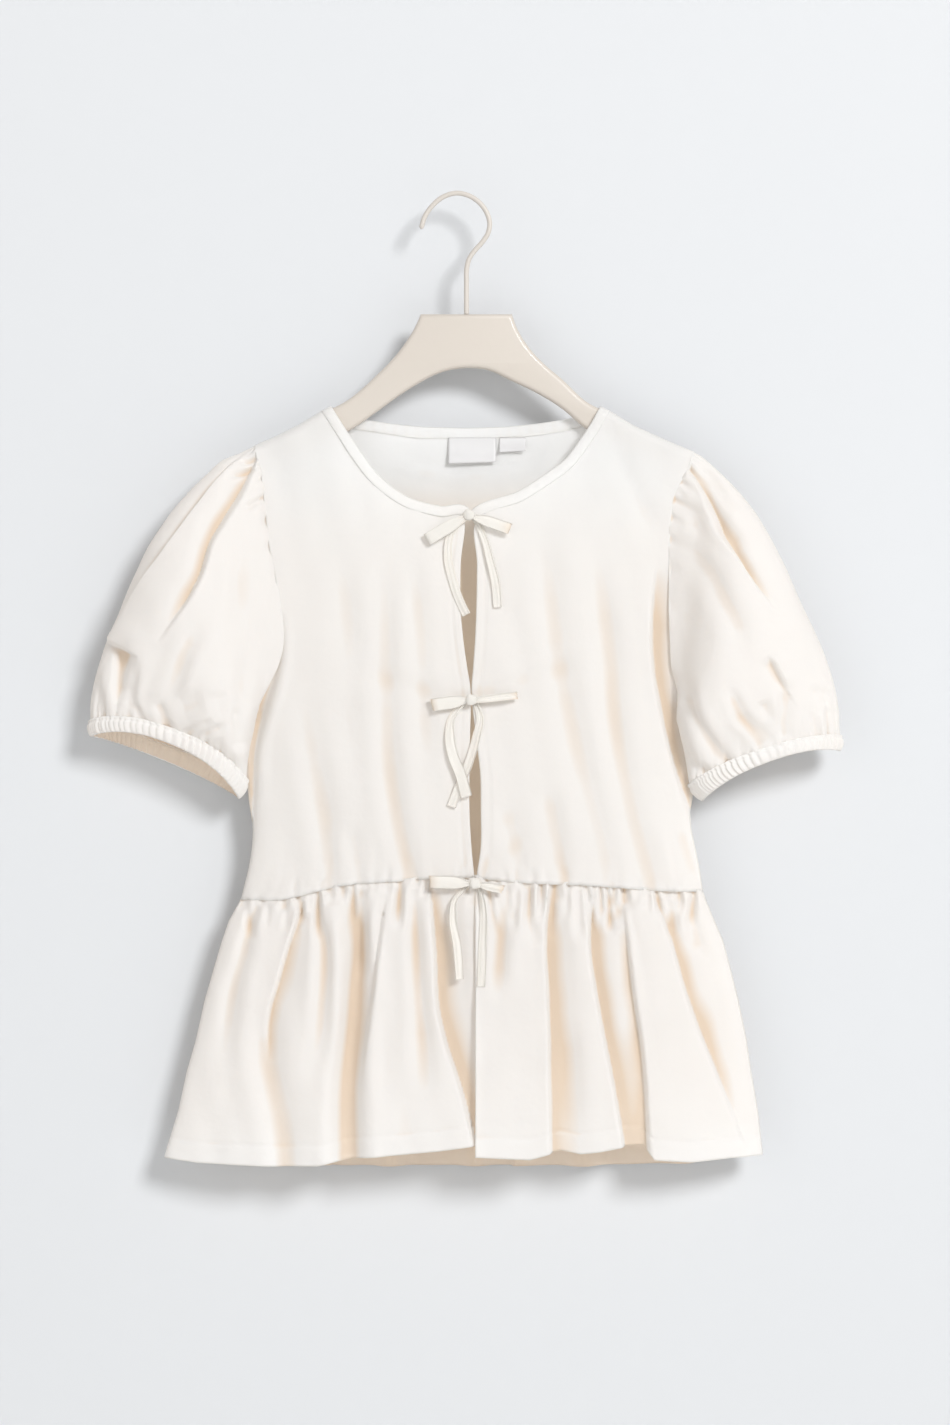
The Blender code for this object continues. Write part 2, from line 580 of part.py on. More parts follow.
def peplum_panel(name, ends, columns, waist, hem, folds, count, sign, material, cloth_edges):
    """A gathered peplum panel under a bodice edge. ends gives its first and last x; sign is -1 in front."""
    waist = waist[np.argsort(waist[:, 0])]
    grid = []
    for down in PEPLUM_ROWS:
        line = []
        for across in np.linspace(0, 1, columns):
            top_first, top_last = ends(WAIST_Z)
            top_x = top_first + (top_last - top_first) * across
            waist_z = np.interp(top_x, waist[:, 0], waist[:, 2]) - 2 * SEAM_HALF
            foot_first, foot_last = ends(HEM_Z)
            hem_z = through(hem, foot_first + (foot_last - foot_first) * across)
            z = waist_z + (hem_z - waist_z) * down
            row_first, row_last = ends(z)
            x = row_first + (row_last - row_first) * across
            off = stand_off(x, z, 3 if sign < 0 else 4)
            pressed = peplum_depth(x, z, waist_z, folds) + gathers(across, count, waist_z - z)
            off -= min(pressed, off - SEAM_HALF)
            line.append((x, sign * off, z))
        grid.append(line)
    grid = np.array(grid)
    square = [(0, slice(None), 2)]
    for column, kind in cloth_edges:
        if kind == "side":
            grid[:, column, 1] = sign * SEAM_HALF
            square.append((slice(None), column, 1))
        else:
            square.append((slice(None), column, 0))
    wall(name, grid, material, facing=(0, sign, 0), square=square)


def peplum(left_waist, right_waist, back_waist, cloth):
    """Both front panels, open at the middle, and the back panel."""

    def left_ends(z):
        return -body_at(z, 1), PEPLUM_EDGE_LEFT

    def right_ends(z):
        return PEPLUM_EDGE_RIGHT, body_at(z, 2)

    def back_ends(z):
        return -body_at(z, 1), body_at(z, 2)

    peplum_panel("peplum_front_left", left_ends, FRONT_COLUMNS, left_waist, HEM_LEFT, PEPLUM_LEFT_FOLDS,
                 FRONT_GATHERS, -1, cloth, ((0, "side"), (-1, "edge")))
    peplum_panel("peplum_front_right", right_ends, FRONT_COLUMNS, right_waist, HEM_RIGHT, PEPLUM_RIGHT_FOLDS,
                 FRONT_GATHERS, -1, cloth, ((0, "edge"), (-1, "side")))
    peplum_panel("peplum_back", back_ends, BACK_PEPLUM_COLUMNS, back_waist, HEM_BACK, PEPLUM_BACK_FOLDS,
                 BACK_GATHERS, 1, cloth, ((0, "side"), (-1, "side")))


def into_neck_hole(edge):
    """Directions across the binding, in x and z, along one stretch of the neck edge."""
    run = unit(np.gradient(edge[:, [0, 2]], axis=0))
    square_to_edge = np.stack([-run[:, 1], run[:, 0]], axis=1)
    towards = np.array(NECK_HOLE) - edge[:, [0, 2]]
    square_to_edge *= np.sign((square_to_edge * towards).sum(axis=1))[:, None]
    drop = np.array([through(SHOULDER, x) - z for x, _, z in edge])
    share = np.clip(drop / ROLL, 0, 1)[:, None]
    inward = -np.sign(edge[:, 0]) * SHOULDER_RUN[0]
    along_shoulder = np.stack([inward, np.full(len(edge), SHOULDER_RUN[1])], axis=1)
    return unit(square_to_edge * share + along_shoulder * (1 - share))


def neck_binding(left_neck, right_neck, back_neck, cloth):
    """The narrow binding, from the left front corner over the back neck to the right front corner."""
    stretches = (
        (left_neck[:0:-1], -1), (back_neck[:1], 0), (back_neck[1:-1], 1), (back_neck[-1:], 0),
        (right_neck[1:], -1),
    )
    directions = [into_neck_hole(left_neck)[:0:-1]]
    on_back = into_neck_hole(back_neck)
    directions += [on_back[:1], on_back[1:-1], on_back[-1:], into_neck_hole(right_neck)[1:]]
    grid = []
    for share in BINDING_SHARES:
        line = []
        for (edge, sign), ways in zip(stretches, directions):
            for point, way in zip(edge, ways):
                x = point[0] + way[0] * BINDING_WIDTH * share
                z = point[2] + way[1] * BINDING_WIDTH * share
                line.append((x, sign * stand_off(x, z, 3 if sign < 0 else 4), z))
        grid.append(line)
    grid = np.array(grid)
    hole = np.array((NECK_HOLE[0], 0.0, NECK_HOLE[1]))
    away = unit(grid - hole) * BINDING_LEAN
    wall("neck_binding", grid, cloth, facing=away, square=[(slice(None), (0, -1), 0)])


def strip_path(knot, tip, loop_width, tail):
    """A tie's route from its tail's end to the knot, out along the back of its loop and back in front."""
    knot = np.array(knot)
    tip = np.array(tip)
    along = unit(tip - knot)
    near = knot + along * HAIRPIN_REACH
    rows = [(x, z, TAIL_OUT + lift, width) for x, z, lift, width in tail]
    rows.append((near[0], near[1], TAIL_OUT, KNOT_WIDTH))
    bend = knot + along * (HAIRPIN_REACH - HAIRPIN_FIT)
    rows.append((bend[0], bend[1], (TAIL_OUT + LOOP_BACK_OUT) / 2, KNOT_WIDTH))
    rows.append((near[0], near[1], LOOP_BACK_OUT, KNOT_WIDTH))
    swell = (LOOP_BACK_OUT + LOOP_FRONT_OUT) / 2
    for share in LOOP_BACK_SHARES:
        spot = knot + (tip - knot) * share
        turning = SEAM if share == max(LOOP_BACK_SHARES) else 0
        rows.append((spot[0], spot[1], LOOP_BACK_OUT + turning, loop_width * min(LOOP_NARROWING + share, 1)))
    rows.append((tip[0], tip[1], swell + LOOP_CROWN / 2, loop_width))
    for share in LOOP_FRONT_SHARES:
        spot = knot + (tip - knot) * share
        crown = 0 if share == max(LOOP_FRONT_SHARES) else LOOP_CROWN
        rows.append((spot[0], spot[1], LOOP_FRONT_OUT + crown, loop_width * min(LOOP_NARROWING + share, 1)))
    start = knot + along * (KNOT_SIZE[0] + SEAM + LOOP_CROWN)
    rows.append((start[0], start[1], LOOP_FRONT_OUT + LOOP_CROWN / 2, KNOT_WIDTH + 1))
    return rows


def strip(name, rows, cloth):
    """A flat tie swept along its route, its width carried along without a twist."""
    placed = [(x, -stand_off(x, z, 3) - out, z, width) for x, z, out, width in rows]
    route = smooth_path(placed, len(placed) * 2 - 1)
    points = route[:, :3]
    runs = unit(np.gradient(points, axis=0))
    width_way = unit(np.cross(runs[0], (0.0, -1.0, 0.0)))
    shape = bmesh.new()
    rings = []
    for point, run, width in zip(points, runs, route[:, 3]):
        width_way = unit(width_way - run * np.dot(width_way, run))
        depth_way = np.cross(run, width_way)
        ring = []
        for wide, deep in ((-1, -1), (1, -1), (1, 1), (-1, 1)):
            corner = point + width_way * wide * width / 2 + depth_way * deep * STRIP / 2
            ring.append(shape.verts.new(corner * MM))
        rings.append(ring)
    for first, second in zip(rings, rings[1:]):
        for j in range(4):
            k = (j + 1) % 4
            shape.faces.new((first[j], first[k], second[k], second[j]))
    shape.faces.new(rings[0])
    shape.faces.new(rings[-1])
    bmesh.ops.recalc_face_normals(shape, faces=shape.faces)
    mesh = bpy.data.meshes.new(name)
    shape.to_mesh(mesh)
    shape.free()
    add_object(name, mesh, cloth)


def knot_ball(name, place, cloth):
    """A bow's knot."""
    x, z = place
    shape = bmesh.new()
    bmesh.ops.create_uvsphere(shape, u_segments=12, v_segments=7, radius=1)
    bmesh.ops.scale(shape, vec=np.array(KNOT_SIZE) * MM, verts=shape.verts)
    place_y = -stand_off(x, z, 3) - KNOT_OUT
    bmesh.ops.translate(shape, vec=np.array((x, place_y, z)) * MM, verts=shape.verts)
    mesh = bpy.data.meshes.new(name)
    shape.to_mesh(mesh)
    shape.free()
    add_object(name, mesh, cloth)


def ties(cloth):
    for name, knot, strips in BOWS:
        knot_ball(name + "_knot", knot, cloth)
        for side, (tip, loop_width, tail) in strips.items():
            strip(name + "_" + side, strip_path(knot, tip, loop_width, tail), cloth)


def label(name, place, material):
    """A small flap hanging inside the back neck, made from the back's own points."""
    left, right, top, height = place
    grid = []
    for z in np.linspace(top, top - height, 4):
        grid.append([(x, back_y(x, z) - CLOTH - LABEL_GAP, z) for x in np.linspace(left, right, 5)])
    wall(name, grid, material, thickness=TAPE, facing=(0, 1, 0))


def hanger_board(material):
    """The flat board: its outline filled, drawn out to its thickness and rounded."""
    arm_left = [(x, through(SHOULDER, x) - ARM_DROP) for x in ARM_TOP_X[::-1]]
    arm_right = [(x, through(SHOULDER, x) - ARM_DROP) for x in ARM_TOP_X_RIGHT]
    outline = list(BOARD_TOP_RIGHT) + arm_right + list(BOARD_LOW_RIGHT) + list(BOARD_LOW)
    outline += arm_left[::-1] + list(BOARD_TOP_LEFT[::-1])
    shape = bmesh.new()
    front = [shape.verts.new((x * MM, -BOARD_THICKNESS / 2 * MM, z * MM)) for x, z in outline]
    face = shape.faces.new(front)
    drawn = bmesh.ops.extrude_face_region(shape, geom=[face])
    moved = [item for item in drawn["geom"] if isinstance(item, bmesh.types.BMVert)]
    bmesh.ops.translate(shape, vec=(0, BOARD_THICKNESS * MM, 0), verts=moved)
    bmesh.ops.recalc_face_normals(shape, faces=shape.faces)
    rims = [edge for edge in shape.edges if abs(edge.verts[0].co.y - edge.verts[1].co.y) < MM / 10]
    bmesh.ops.bevel(shape, geom=rims, offset=BOARD_ROUNDING * MM, offset_type="OFFSET", affect="EDGES",
                    segments=3, profile=0.5, material=-1)
    mesh = bpy.data.meshes.new("hanger_board")
    shape.to_mesh(mesh)
    shape.free()
    add_object("hanger_board", mesh, material, smooth_angle=30)


def hanger_hook(material):
    """The painted wire hook with its stem down to the board."""
    route = smooth_path([(x, 0, z) for x, z in HOOK], HOOK_POINTS)
    wire = bpy.data.curves.new("hanger_hook", "CURVE")
    wire.dimensions = "3D"
    line = wire.splines.new("POLY")
    line.points.add(len(route) - 1)
    for spot, (x, y, z) in zip(line.points, route):
        spot.co = (x * MM, y * MM, z * MM, 1)
    wire.bevel_depth = WIRE_RADIUS * MM
    wire.bevel_resolution = 2
    wire.use_fill_caps = True
    wire.materials.append(material)
    thing = bpy.data.objects.new("hanger_hook", wire)
    bpy.context.scene.collection.objects.link(thing)
    thing.parent = bpy.data.objects["garment_middle"]


def build():
    clear_scene()
    middle = bpy.data.objects.new("garment_middle", None)
    middle.location = (HOOK_OFFSET * MM, 0, 0)
    bpy.context.scene.collection.objects.link(middle)
    cloth = finish_of("cream_cotton", (0.86, 0.81, 0.73), 0.9, sheen=0.2)
    satin = finish_of("white_satin_tape", (0.88, 0.88, 0.87), 0.45)
    lacquer = finish_of("beige_lacquer", (0.70, 0.62, 0.52), 0.5)
    wire = finish_of("beige_painted_wire", (0.66, 0.59, 0.50), 0.4)

    left_armhole, left_neck, left_waist = front_half(
        "front_left", FRONT_LEFT, SHOULDER[0][0], SHOULDER[3][0], BODICE_COLUMNS, cloth
    )
    right_armhole, right_neck, right_waist = front_half(
        "front_right", FRONT_RIGHT, SHOULDER[-1][0], SHOULDER[5][0], BODICE_COLUMNS, cloth
    )
    back_left_armhole, back_right_armhole, back_neck, back_waist = back_piece(cloth)
    sleeve(
        "sleeve_left", -1, left_armhole, back_left_armhole[::-1], SLEEVE_LEFT, CUFF_LEFT, cloth, "cuff_left"
    )
    sleeve(
        "sleeve_right", 1, right_armhole, back_right_armhole[::-1], SLEEVE_RIGHT, CUFF_RIGHT, cloth,
        "cuff_right",
    )
    peplum(left_waist, right_waist, back_waist, cloth)
    neck_binding(left_neck, right_neck, back_neck, cloth)
    ties(cloth)
    label("neck_label", NECK_LABEL, satin)
    label("size_label", SIZE_LABEL, satin)
    hanger_board(lacquer)
    hanger_hook(wire)


build()
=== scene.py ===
# %% [markdown]
# # A cotton puff sleeve top on its hanger
# The real top is sewn from fine cream cotton: two open front halves, a back, two puff sleeves with
# elastic cuffs, a gathered peplum, a narrow bound neck and three tied bows. It hangs on a flat hanger.
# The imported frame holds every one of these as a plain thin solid. This lesson keeps their form and
# makes the cloth fine: gathers, long soft folds, pressed hems and stitches.

# %% Load the frame
import math

import bmesh
import bpy
import numpy as np
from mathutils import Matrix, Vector


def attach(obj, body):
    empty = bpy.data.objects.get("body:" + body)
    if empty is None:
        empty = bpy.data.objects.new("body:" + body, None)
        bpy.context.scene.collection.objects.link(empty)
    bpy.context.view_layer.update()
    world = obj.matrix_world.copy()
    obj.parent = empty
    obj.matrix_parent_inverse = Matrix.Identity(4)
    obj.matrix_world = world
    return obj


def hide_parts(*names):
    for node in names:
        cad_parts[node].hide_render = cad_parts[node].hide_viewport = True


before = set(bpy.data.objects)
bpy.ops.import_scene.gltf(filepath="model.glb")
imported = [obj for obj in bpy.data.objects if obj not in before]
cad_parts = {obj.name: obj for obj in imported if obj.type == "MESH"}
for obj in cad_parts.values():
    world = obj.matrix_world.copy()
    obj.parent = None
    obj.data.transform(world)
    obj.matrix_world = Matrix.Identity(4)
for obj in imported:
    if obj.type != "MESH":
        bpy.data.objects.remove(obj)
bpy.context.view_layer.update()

MM = 0.001
GARMENT_MIDDLE = 4.0  # the garment's middle line lies this far right of the hook's resting point, in mm

# %% [markdown]
# ## The form that every piece follows
# A hanging top is a flattened tube. One table says how wide it is and how far front and back stand off
# the middle plane at each height, and one line says where the shoulders run. Both are in millimetres
# from the garment's middle, as measured from the picture. Tables are kept as they are in the solids, so
# that the fine cloth lies where the plain cloth lay.

# %% Tables of the hanging body
ROLL = 8.5  # the cloth rolls over the shoulder in this radius
ROLL_FADE = 90.0  # the body reaches its full stand-off this far below the roll
SEAM_RIDGE = 0.5  # stand-off on the shoulder seam itself
SEAM_HALF = 0.2  # no cloth comes closer to the middle plane than this
PROFILE_POWER = 2.2  # at 2 the body's section would be an ellipse
ROLL_ANGLES = (0, 30, 60, 90)
ROLL_DROPS = [ROLL * (1 - math.cos(math.radians(angle))) for angle in ROLL_ANGLES]

# Top line of the shoulders: x, z
SHOULDER = (
    (-168, -200), (-150, -192), (-132, -183), (-114, -172), (1, -115),
    (116, -172), (134, -183), (150, -190.5), (167, -198), (184, -205),
)
# Half widths and stand-offs of the body: z, left, right, front, back
BODY = (
    (-780, 242, 240, 33, 27), (-768, 240, 239, 33, 27), (-732, 229, 235, 32, 26),
    (-700, 222, 229.5, 30, 25), (-676, 215, 226, 29, 24), (-644, 208, 219.5, 28, 22),
    (-620, 201, 213.5, 27, 21), (-596, 194, 207, 26, 20), (-580, 188.5, 200, 25, 18),
    (-563, 179, 193, 22, 16), (-556, 177, 191, 21, 15.5), (-532, 171, 188, 20, 15),
    (-508, 168.5, 183, 21, 15), (-472, 168.5, 175.5, 22, 16), (-452, 168.5, 172, 22, 16),
    (-416, 166.5, 169.5, 21, 16), (-388, 176, 174, 20, 15), (-356, 192, 182, 19, 14),
    (-300, 206, 196, 17, 13), (-172, 220, 214, 10, 10),
)


def through(rows, key, column=1):
    """Straight-line value of one column at a key, for a table whose first column rises."""
    table = np.array(rows, float)
    return np.interp(key, table[:, 0], table[:, column])


def ease(value):
    """A soft step from 0 to 1."""
    value = np.clip(value, 0, 1)
    return value * value * (3 - 2 * value)


def stand_off(x, z, column):
    """How far the cloth lies from the middle plane, in front (column 3) or behind (column 4)."""
    half = np.where(x < 0, through(BODY, z, 1), through(BODY, z, 2))
    across = np.minimum(np.abs(x) / half, 1.0)
    bulge = through(BODY, z, column) * (1 - across**PROFILE_POWER) ** (1 / PROFILE_POWER)
    drop = np.maximum(through(SHOULDER, x) - z, 0.0)
    rest = 1 - np.minimum(drop / ROLL, 1.0)
    rolled = SEAM_RIDGE + (ROLL - SEAM_RIDGE) * np.sqrt(1 - rest * rest)
    settled = rolled + (bulge - ROLL) * ease((drop - ROLL) / ROLL_FADE)
    return np.maximum(settled, SEAM_HALF)


print("the body stands off", round(float(stand_off(0.0, -500.0, 3)), 1), "mm in front at the waist's height")

# %% [markdown]
# ## A cloth sheet from a grid
# Each cut piece starts as a flat grid of quads, as cloth lies on the cutting table. Its corners are then
# moved to their places on the body, and Solidify turns its edges in by the cloth's thickness. A grid
# keeps the rows along the threads, so a weave can follow it, and it has no stretched or crossing faces.

# %% Curves and the cloth grid
CLOTH = 0.9
HOLLOW_REACH = 30.0  # how far around a point its hollow is judged
SEAM_MERGE = 0.00001  # metres: closes a tube's first column onto its last
NOT_ZERO = 1e-12


def smooth_through(keys, values, wanted):
    """Values on a smooth curve through the rows of a table, one column or several."""
    keys = np.asarray(keys, float)
    values = np.asarray(values, float)
    slopes = np.gradient(values, keys, axis=0)
    wanted = np.clip(wanted, keys[0], keys[-1])
    at = np.clip(np.searchsorted(keys, wanted) - 1, 0, len(keys) - 2)
    span = keys[at + 1] - keys[at]
    t = (wanted - keys[at]) / span
    if values.ndim > 1:
        span = span[:, None]
        t = t[:, None]
    rise = 3 * t**2 - 2 * t**3
    start = (t**3 - 2 * t**2 + t) * span * slopes[at]
    end = (t**3 - t**2) * span * slopes[at + 1]
    return values[at] * (1 - rise) + values[at + 1] * rise + start + end


def way_along(points):
    """How far along a route each of its points lies."""
    return np.concatenate([[0], np.cumsum(np.linalg.norm(np.diff(points, axis=0), axis=1))])


def smooth_path(points, count):
    """The same route with evenly spread points on a smooth curve."""
    points = np.array(points, float)
    reached = way_along(points[:, :3])
    return smooth_through(reached, points, np.linspace(0, reached[-1], count))


def unit(vectors):
    """The same directions at length 1."""
    return vectors / np.linalg.norm(vectors, axis=-1, keepdims=True)


def softened(grid, reach, axis, closed):
    """The grid averaged over neighbours up to this many cells away along one axis, more for the near."""
    steps = np.arange(-reach, reach + 1)
    weights = np.cos(steps / (reach + 1) * math.pi / 2) ** 2
    weights /= weights.sum()
    count = grid.shape[axis]
    total = np.zeros_like(grid)
    for step, weight in zip(steps, weights):
        index = np.arange(count) + step
        index = index % (count - 1) if closed else np.clip(index, 0, count - 1)
        total += weight * np.take(grid, index, axis=axis)
    return total


def sunk_depth(grid, closed, out):
    """How far, in mm, each point of a grid of cloth lies in a hollow of it, 0 on a flat or a crest."""
    run = np.gradient(grid, axis=1)
    fall = np.gradient(grid, axis=0)
    outward = unit(np.cross(run, fall) + NOT_ZERO)
    across = np.median(np.linalg.norm(run, axis=2))
    down = np.median(np.linalg.norm(fall, axis=2))
    around = softened(grid, max(2, round(HOLLOW_REACH / across)), 1, closed)
    around = softened(around, max(2, round(HOLLOW_REACH / 2 / down)), 0, False)
    hollow = ((around - grid) * outward).sum(axis=2)
    middle = grid.reshape(-1, 3).mean(axis=0)
    facing = outward[:, :, 1].sum() * out if out else ((grid - middle) * outward).sum()
    return hollow if facing > 0 else -hollow


def add_object(name, data):
    """Puts a mesh, a lamp or a camera into the scene."""
    thing = bpy.data.objects.new(name, data)
    bpy.context.scene.collection.objects.link(thing)
    return thing


def finished_mesh(name, shape, material):
    """A mesh of one material from a shape that is ready."""
    mesh = bpy.data.meshes.new(name)
    shape.to_mesh(mesh)
    shape.free()
    mesh.materials.append(material)
    return mesh


def cloth_sheet(name, rows, columns, place, size, material, thickness=CLOTH, closed=False, out=-1,
                inside_shade=0.0):
    """A grid whose corners go to place(across, down), in mm. size is its real width and length in metres.
    Its last argument is the share of painted shade on its inside, as one number or worked out from the
    height."""
    shape = bmesh.new()
    laid = shape.loops.layers.uv.new("thread")
    bmesh.ops.create_grid(shape, x_segments=columns, y_segments=rows, size=0.5, calc_uvs=True)
    flat = np.array([corner.co for corner in shape.verts])
    spots = place(flat[:, 0] + 0.5, 0.5 - flat[:, 1]) + np.array((GARMENT_MIDDLE, 0, 0))
    for face in shape.faces:
        for loop in face.loops:
            loop[laid].uv = ((loop.vert.co.x + 0.5) * size[0], (loop.vert.co.y + 0.5) * size[1])
    row = np.round((0.5 - flat[:, 1]) * rows).astype(int)
    column = np.round((flat[:, 0] + 0.5) * columns).astype(int)
    grid = np.zeros((rows + 1, columns + 1, 3))
    grid[row, column] = spots
    hollow = sunk_depth(grid, closed, out)
    shade = inside_shade(spots[:, 2]) if callable(inside_shade) else np.full(len(spots), inside_shade)
    # Each corner keeps its hollow's depth and its share of inside shade, from which the cotton's painted
    # shade is made
    sunk = shape.verts.layers.float.new("sunk")
    inner = shape.verts.layers.float.new("inside_shade")
    for corner, spot, depth, shaded in zip(shape.verts, spots, hollow[row, column], shade):
        corner.co = spot * MM
        corner[sunk] = depth
        corner[inner] = shaded
    if closed:
        bmesh.ops.remove_doubles(shape, verts=shape.verts, dist=SEAM_MERGE)
    return finish_sheet(name, shape, material, thickness, out)


def finish_sheet(name, shape, material, thickness, out):
    """Gives the sheet its object, its faces pointing out (-1 to the front, 1 to the back, 0 as a tube) and an
    edge turned in by its thickness."""
    shape.normal_update()
    if out:
        away = out * sum(face.normal.y * face.calc_area() for face in shape.faces)
    else:
        bmesh.ops.recalc_face_normals(shape, faces=shape.faces)
        middle = Vector(np.mean([face.calc_center_median() for face in shape.faces], axis=0))
        away = sum(face.normal.dot(face.calc_center_median() - middle) for face in shape.faces)
    if away < 0:
        bmesh.ops.reverse_faces(shape, faces=shape.faces)
    area = sum(face.calc_area() for face in shape.faces)
    mesh = finished_mesh(name, shape, material)
    mesh.shade_smooth()
    piece = add_object(name, mesh)
    if thickness:
        wall = piece.modifiers.new("cloth thickness", "SOLIDIFY")
        wall.thickness = thickness * MM
        wall.offset = -1
        wall.use_rim_only = True
    print(name, "has", len(mesh.polygons), "quads and", round(area, 4), "square metres of cloth")
    return piece


print("cloth is", CLOTH, "mm thick")

# %% [markdown]
# ## Folds
# A fold is a route over the cloth with a depth beside it. A pressed fold is a soft trough. A lapped fold
# is lopsided, because the cloth on one side stands over the other. Gathers are rows of small troughs
# under a seam, and slow crossing waves keep the rest from lying too smooth.

# %% Pressed folds, lapped folds and gathers
PRESS_POWER = 2.4  # the trough's shape: flatter at the bottom than a bell
# The low ridge beside a trough: its height as a share of the depth, its place and width in half widths
RIDGE_SHARE = 0.22
RIDGE_AT = 2.1
RIDGE_HALF = 0.8
# Points further away than this many widths are left out of a fold
PRESS_REACH = 4.0
LAP_REACH = 3.5
LEDGE_EDGE = 1.8  # mm over which a lapped fold changes sides
HOLD_FROM = 0.25  # a fold has its full depth between these shares of its route
HOLD_TO = 0.7
WAVES = 9
WAVE_LENGTHS = (22, 70)
WAVE_SLANT = 0.55
GATHER_POWER = 1.8  # above 1, so the troughs are narrower than the crests


def beside(route, x, z):
    """How far points are from a route, over 0 to the right on the way down, and their share of the way."""
    line = smooth_path(route, 5 * len(route)) if len(route) > 2 else np.array(route, float)
    reached = way_along(line)
    nearest = np.full(x.shape, np.inf)
    signed = np.zeros_like(x)
    along = np.zeros_like(x)
    for start, run, length, base in zip(line[:-1], np.diff(line, axis=0), np.diff(reached), reached):
        over = x - start[0]
        up = z - start[1]
        held = np.clip((over * run[0] + up * run[1]) / length**2, 0, 1)
        off = np.hypot(over - run[0] * held, up - run[1] * held)
        closer = off < nearest
        side = np.where(run[0] * up - run[1] * over < 0, -1, 1)
        nearest = np.where(closer, off, nearest)
        signed = np.where(closer, off * side, signed)
        along = np.where(closer, (base + length * held) / reached[-1], along)
    return signed, along


def near_route(route, x, z, margin):
    """Which points are worth a look for this fold."""
    spots = np.array(route, float)
    low = spots.min(axis=0) - margin
    high = spots.max(axis=0) + margin
    return (x > low[0]) & (x < high[0]) & (z > low[1]) & (z < high[1])


def strength_along(along, ends):
    """A fold's share of its depth on its way, from one end's strength to full and on to the other's."""
    return np.interp(along, (0, HOLD_FROM, HOLD_TO, 1), (ends[0], 1, 1, ends[1]))


def press(x, z, folds):
    """Depth of soft troughs at these points, each with a low ridge beside it. A fold is its route from the
    top down, its depth, its half widths at both ends and its strengths at both ends."""
    total = np.zeros_like(x)
    for route, depth, halves, ends in folds:
        chosen = near_route(route, x, z, PRESS_REACH * max(halves))
        signed, along = beside(route, x[chosen], z[chosen])
        q = np.abs(signed) / (halves[0] + (halves[1] - halves[0]) * along)
        ridge = RIDGE_SHARE * np.exp(-(((q - RIDGE_AT) / RIDGE_HALF) ** 2))
        total[chosen] += depth * strength_along(along, ends) * (np.exp(-q**PRESS_POWER) - ridge)
    return total


def lap(x, z, folds):
    """Depth of lapped folds, where the cloth on one side stands over the other. A fold is its route from the
    top down, the raised side (-1 left, 1 right), its rise and width, its sink and width and its end
    strengths."""
    total = np.zeros_like(x)
    for route, raised, rise, rise_width, sink, sink_width, ends in folds:
        chosen = near_route(route, x, z, LAP_REACH * max(rise_width, sink_width))
        signed, along = beside(route, x[chosen], z[chosen])
        over = signed * raised
        crest = rise * np.exp(-np.maximum(over, 0) / rise_width) * ease(over / LEDGE_EDGE)
        hollow = sink * np.exp(-((np.maximum(-over, 0) / sink_width) ** 2)) * ease(-over / LEDGE_EDGE)
        total[chosen] += strength_along(along, ends) * (hollow - crest)
    return total


def short_gathers(first, last, count, reach, depth, half, seed):
    """Troughs that run down from a seam at height 0, uneven in place, length, tilt, depth and width."""
    draw = np.random.default_rng(seed)
    folds = []
    for spot in np.linspace(first, last, count):
        x = spot + draw.uniform(-0.35, 0.35) * (last - first) / count
        long = reach * draw.uniform(0.3, 1.0) ** 2
        tilt = draw.uniform(-0.2, 0.2) * long
        wide = half * draw.uniform(0.75, 1.25)
        deep = depth * draw.uniform(0.25, 1.0)
        folds.append((((x, 2.0), (x + tilt, -long)), deep, (wide * 0.8, wide * 1.5), (1.0, 0.0)))
    return folds


def undulate(x, z, scale, seed):
    """Gentle unrepeating unevenness from a handful of crossing waves."""
    draw = np.random.default_rng(seed)
    total = np.zeros_like(x)
    for _ in range(WAVES):
        turn = draw.uniform(0, 2 * math.pi)
        length = draw.uniform(*WAVE_LENGTHS)
        phase = draw.uniform(0, 2 * math.pi)
        total += np.sin((x * math.cos(turn) + z * math.sin(turn) * WAVE_SLANT) * 2 * math.pi / length + phase)
    return total * scale / math.sqrt(WAVES)


def gathers(across, count, seed):
    """Rows of small gathers, 0 to 1, uneven in depth and spacing."""
    draw = np.random.default_rng(seed)
    a, b, c = draw.uniform(0, 2 * math.pi, 3)
    phase = across * count * 2 * math.pi + 1.1 * np.sin(across * 9 + a) + 0.7 * np.sin(across * 31 + b)
    uneven = 0.68 + 0.32 * np.sin(across * 23 + c)
    return uneven * (0.5 - 0.5 * np.cos(phase)) ** GATHER_POWER


print("a fold keeps its full depth from", HOLD_FROM, "to", HOLD_TO, "of its route")

# %% [markdown]
# ## Finishes
# The cloth is a light plain-weave cotton, matt with a faint bloom at grazing angles. Its threads are far
# finer than the picture shows, so a small bump that follows the sheet's own threads is enough, with a
# slow noise for the soft crumple that ironing leaves. Each number that is the same all over is set on
# the shader itself.
# Warm shade is painted into the cotton's colour in the hollows of its folds and on the inside of its tubes
# and of the back.

# %% Cotton, tape, lacquer and painted wire
COTTON = (0.915, 0.914, 0.91)
HOLLOW_PAINTED_SHADE = (0.80, 0.66, 0.525)  # painted shade: the warm tan that the cloth shows in the hollows of its folds
# painted shade on the faces seen from inside a tube or inside the back
INSIDE_PAINTED_SHADE = (0.99, 0.81, 0.63)
COTTON_TIES = (0.87, 0.85, 0.81)  # double and tightly stitched, so a little deeper
COTTON_GLOW = (0.95, 0.925, 0.885)
HOLLOW_FROM = 0.5  # depths in mm between which the painted shade of a hollow comes in
HOLLOW_TO = 3.8
THINNESS = 0.36  # share of the light that passes through the cloth
THREAD = 0.00045  # lengths of the finishes are in metres
THREAD_DEPTH = 0.00006
BAND_TURN = 20  # radians a metre in a wave texture of scale 1
CRUMPLES = 55
CRUMPLE_DEPTH = 0.0015


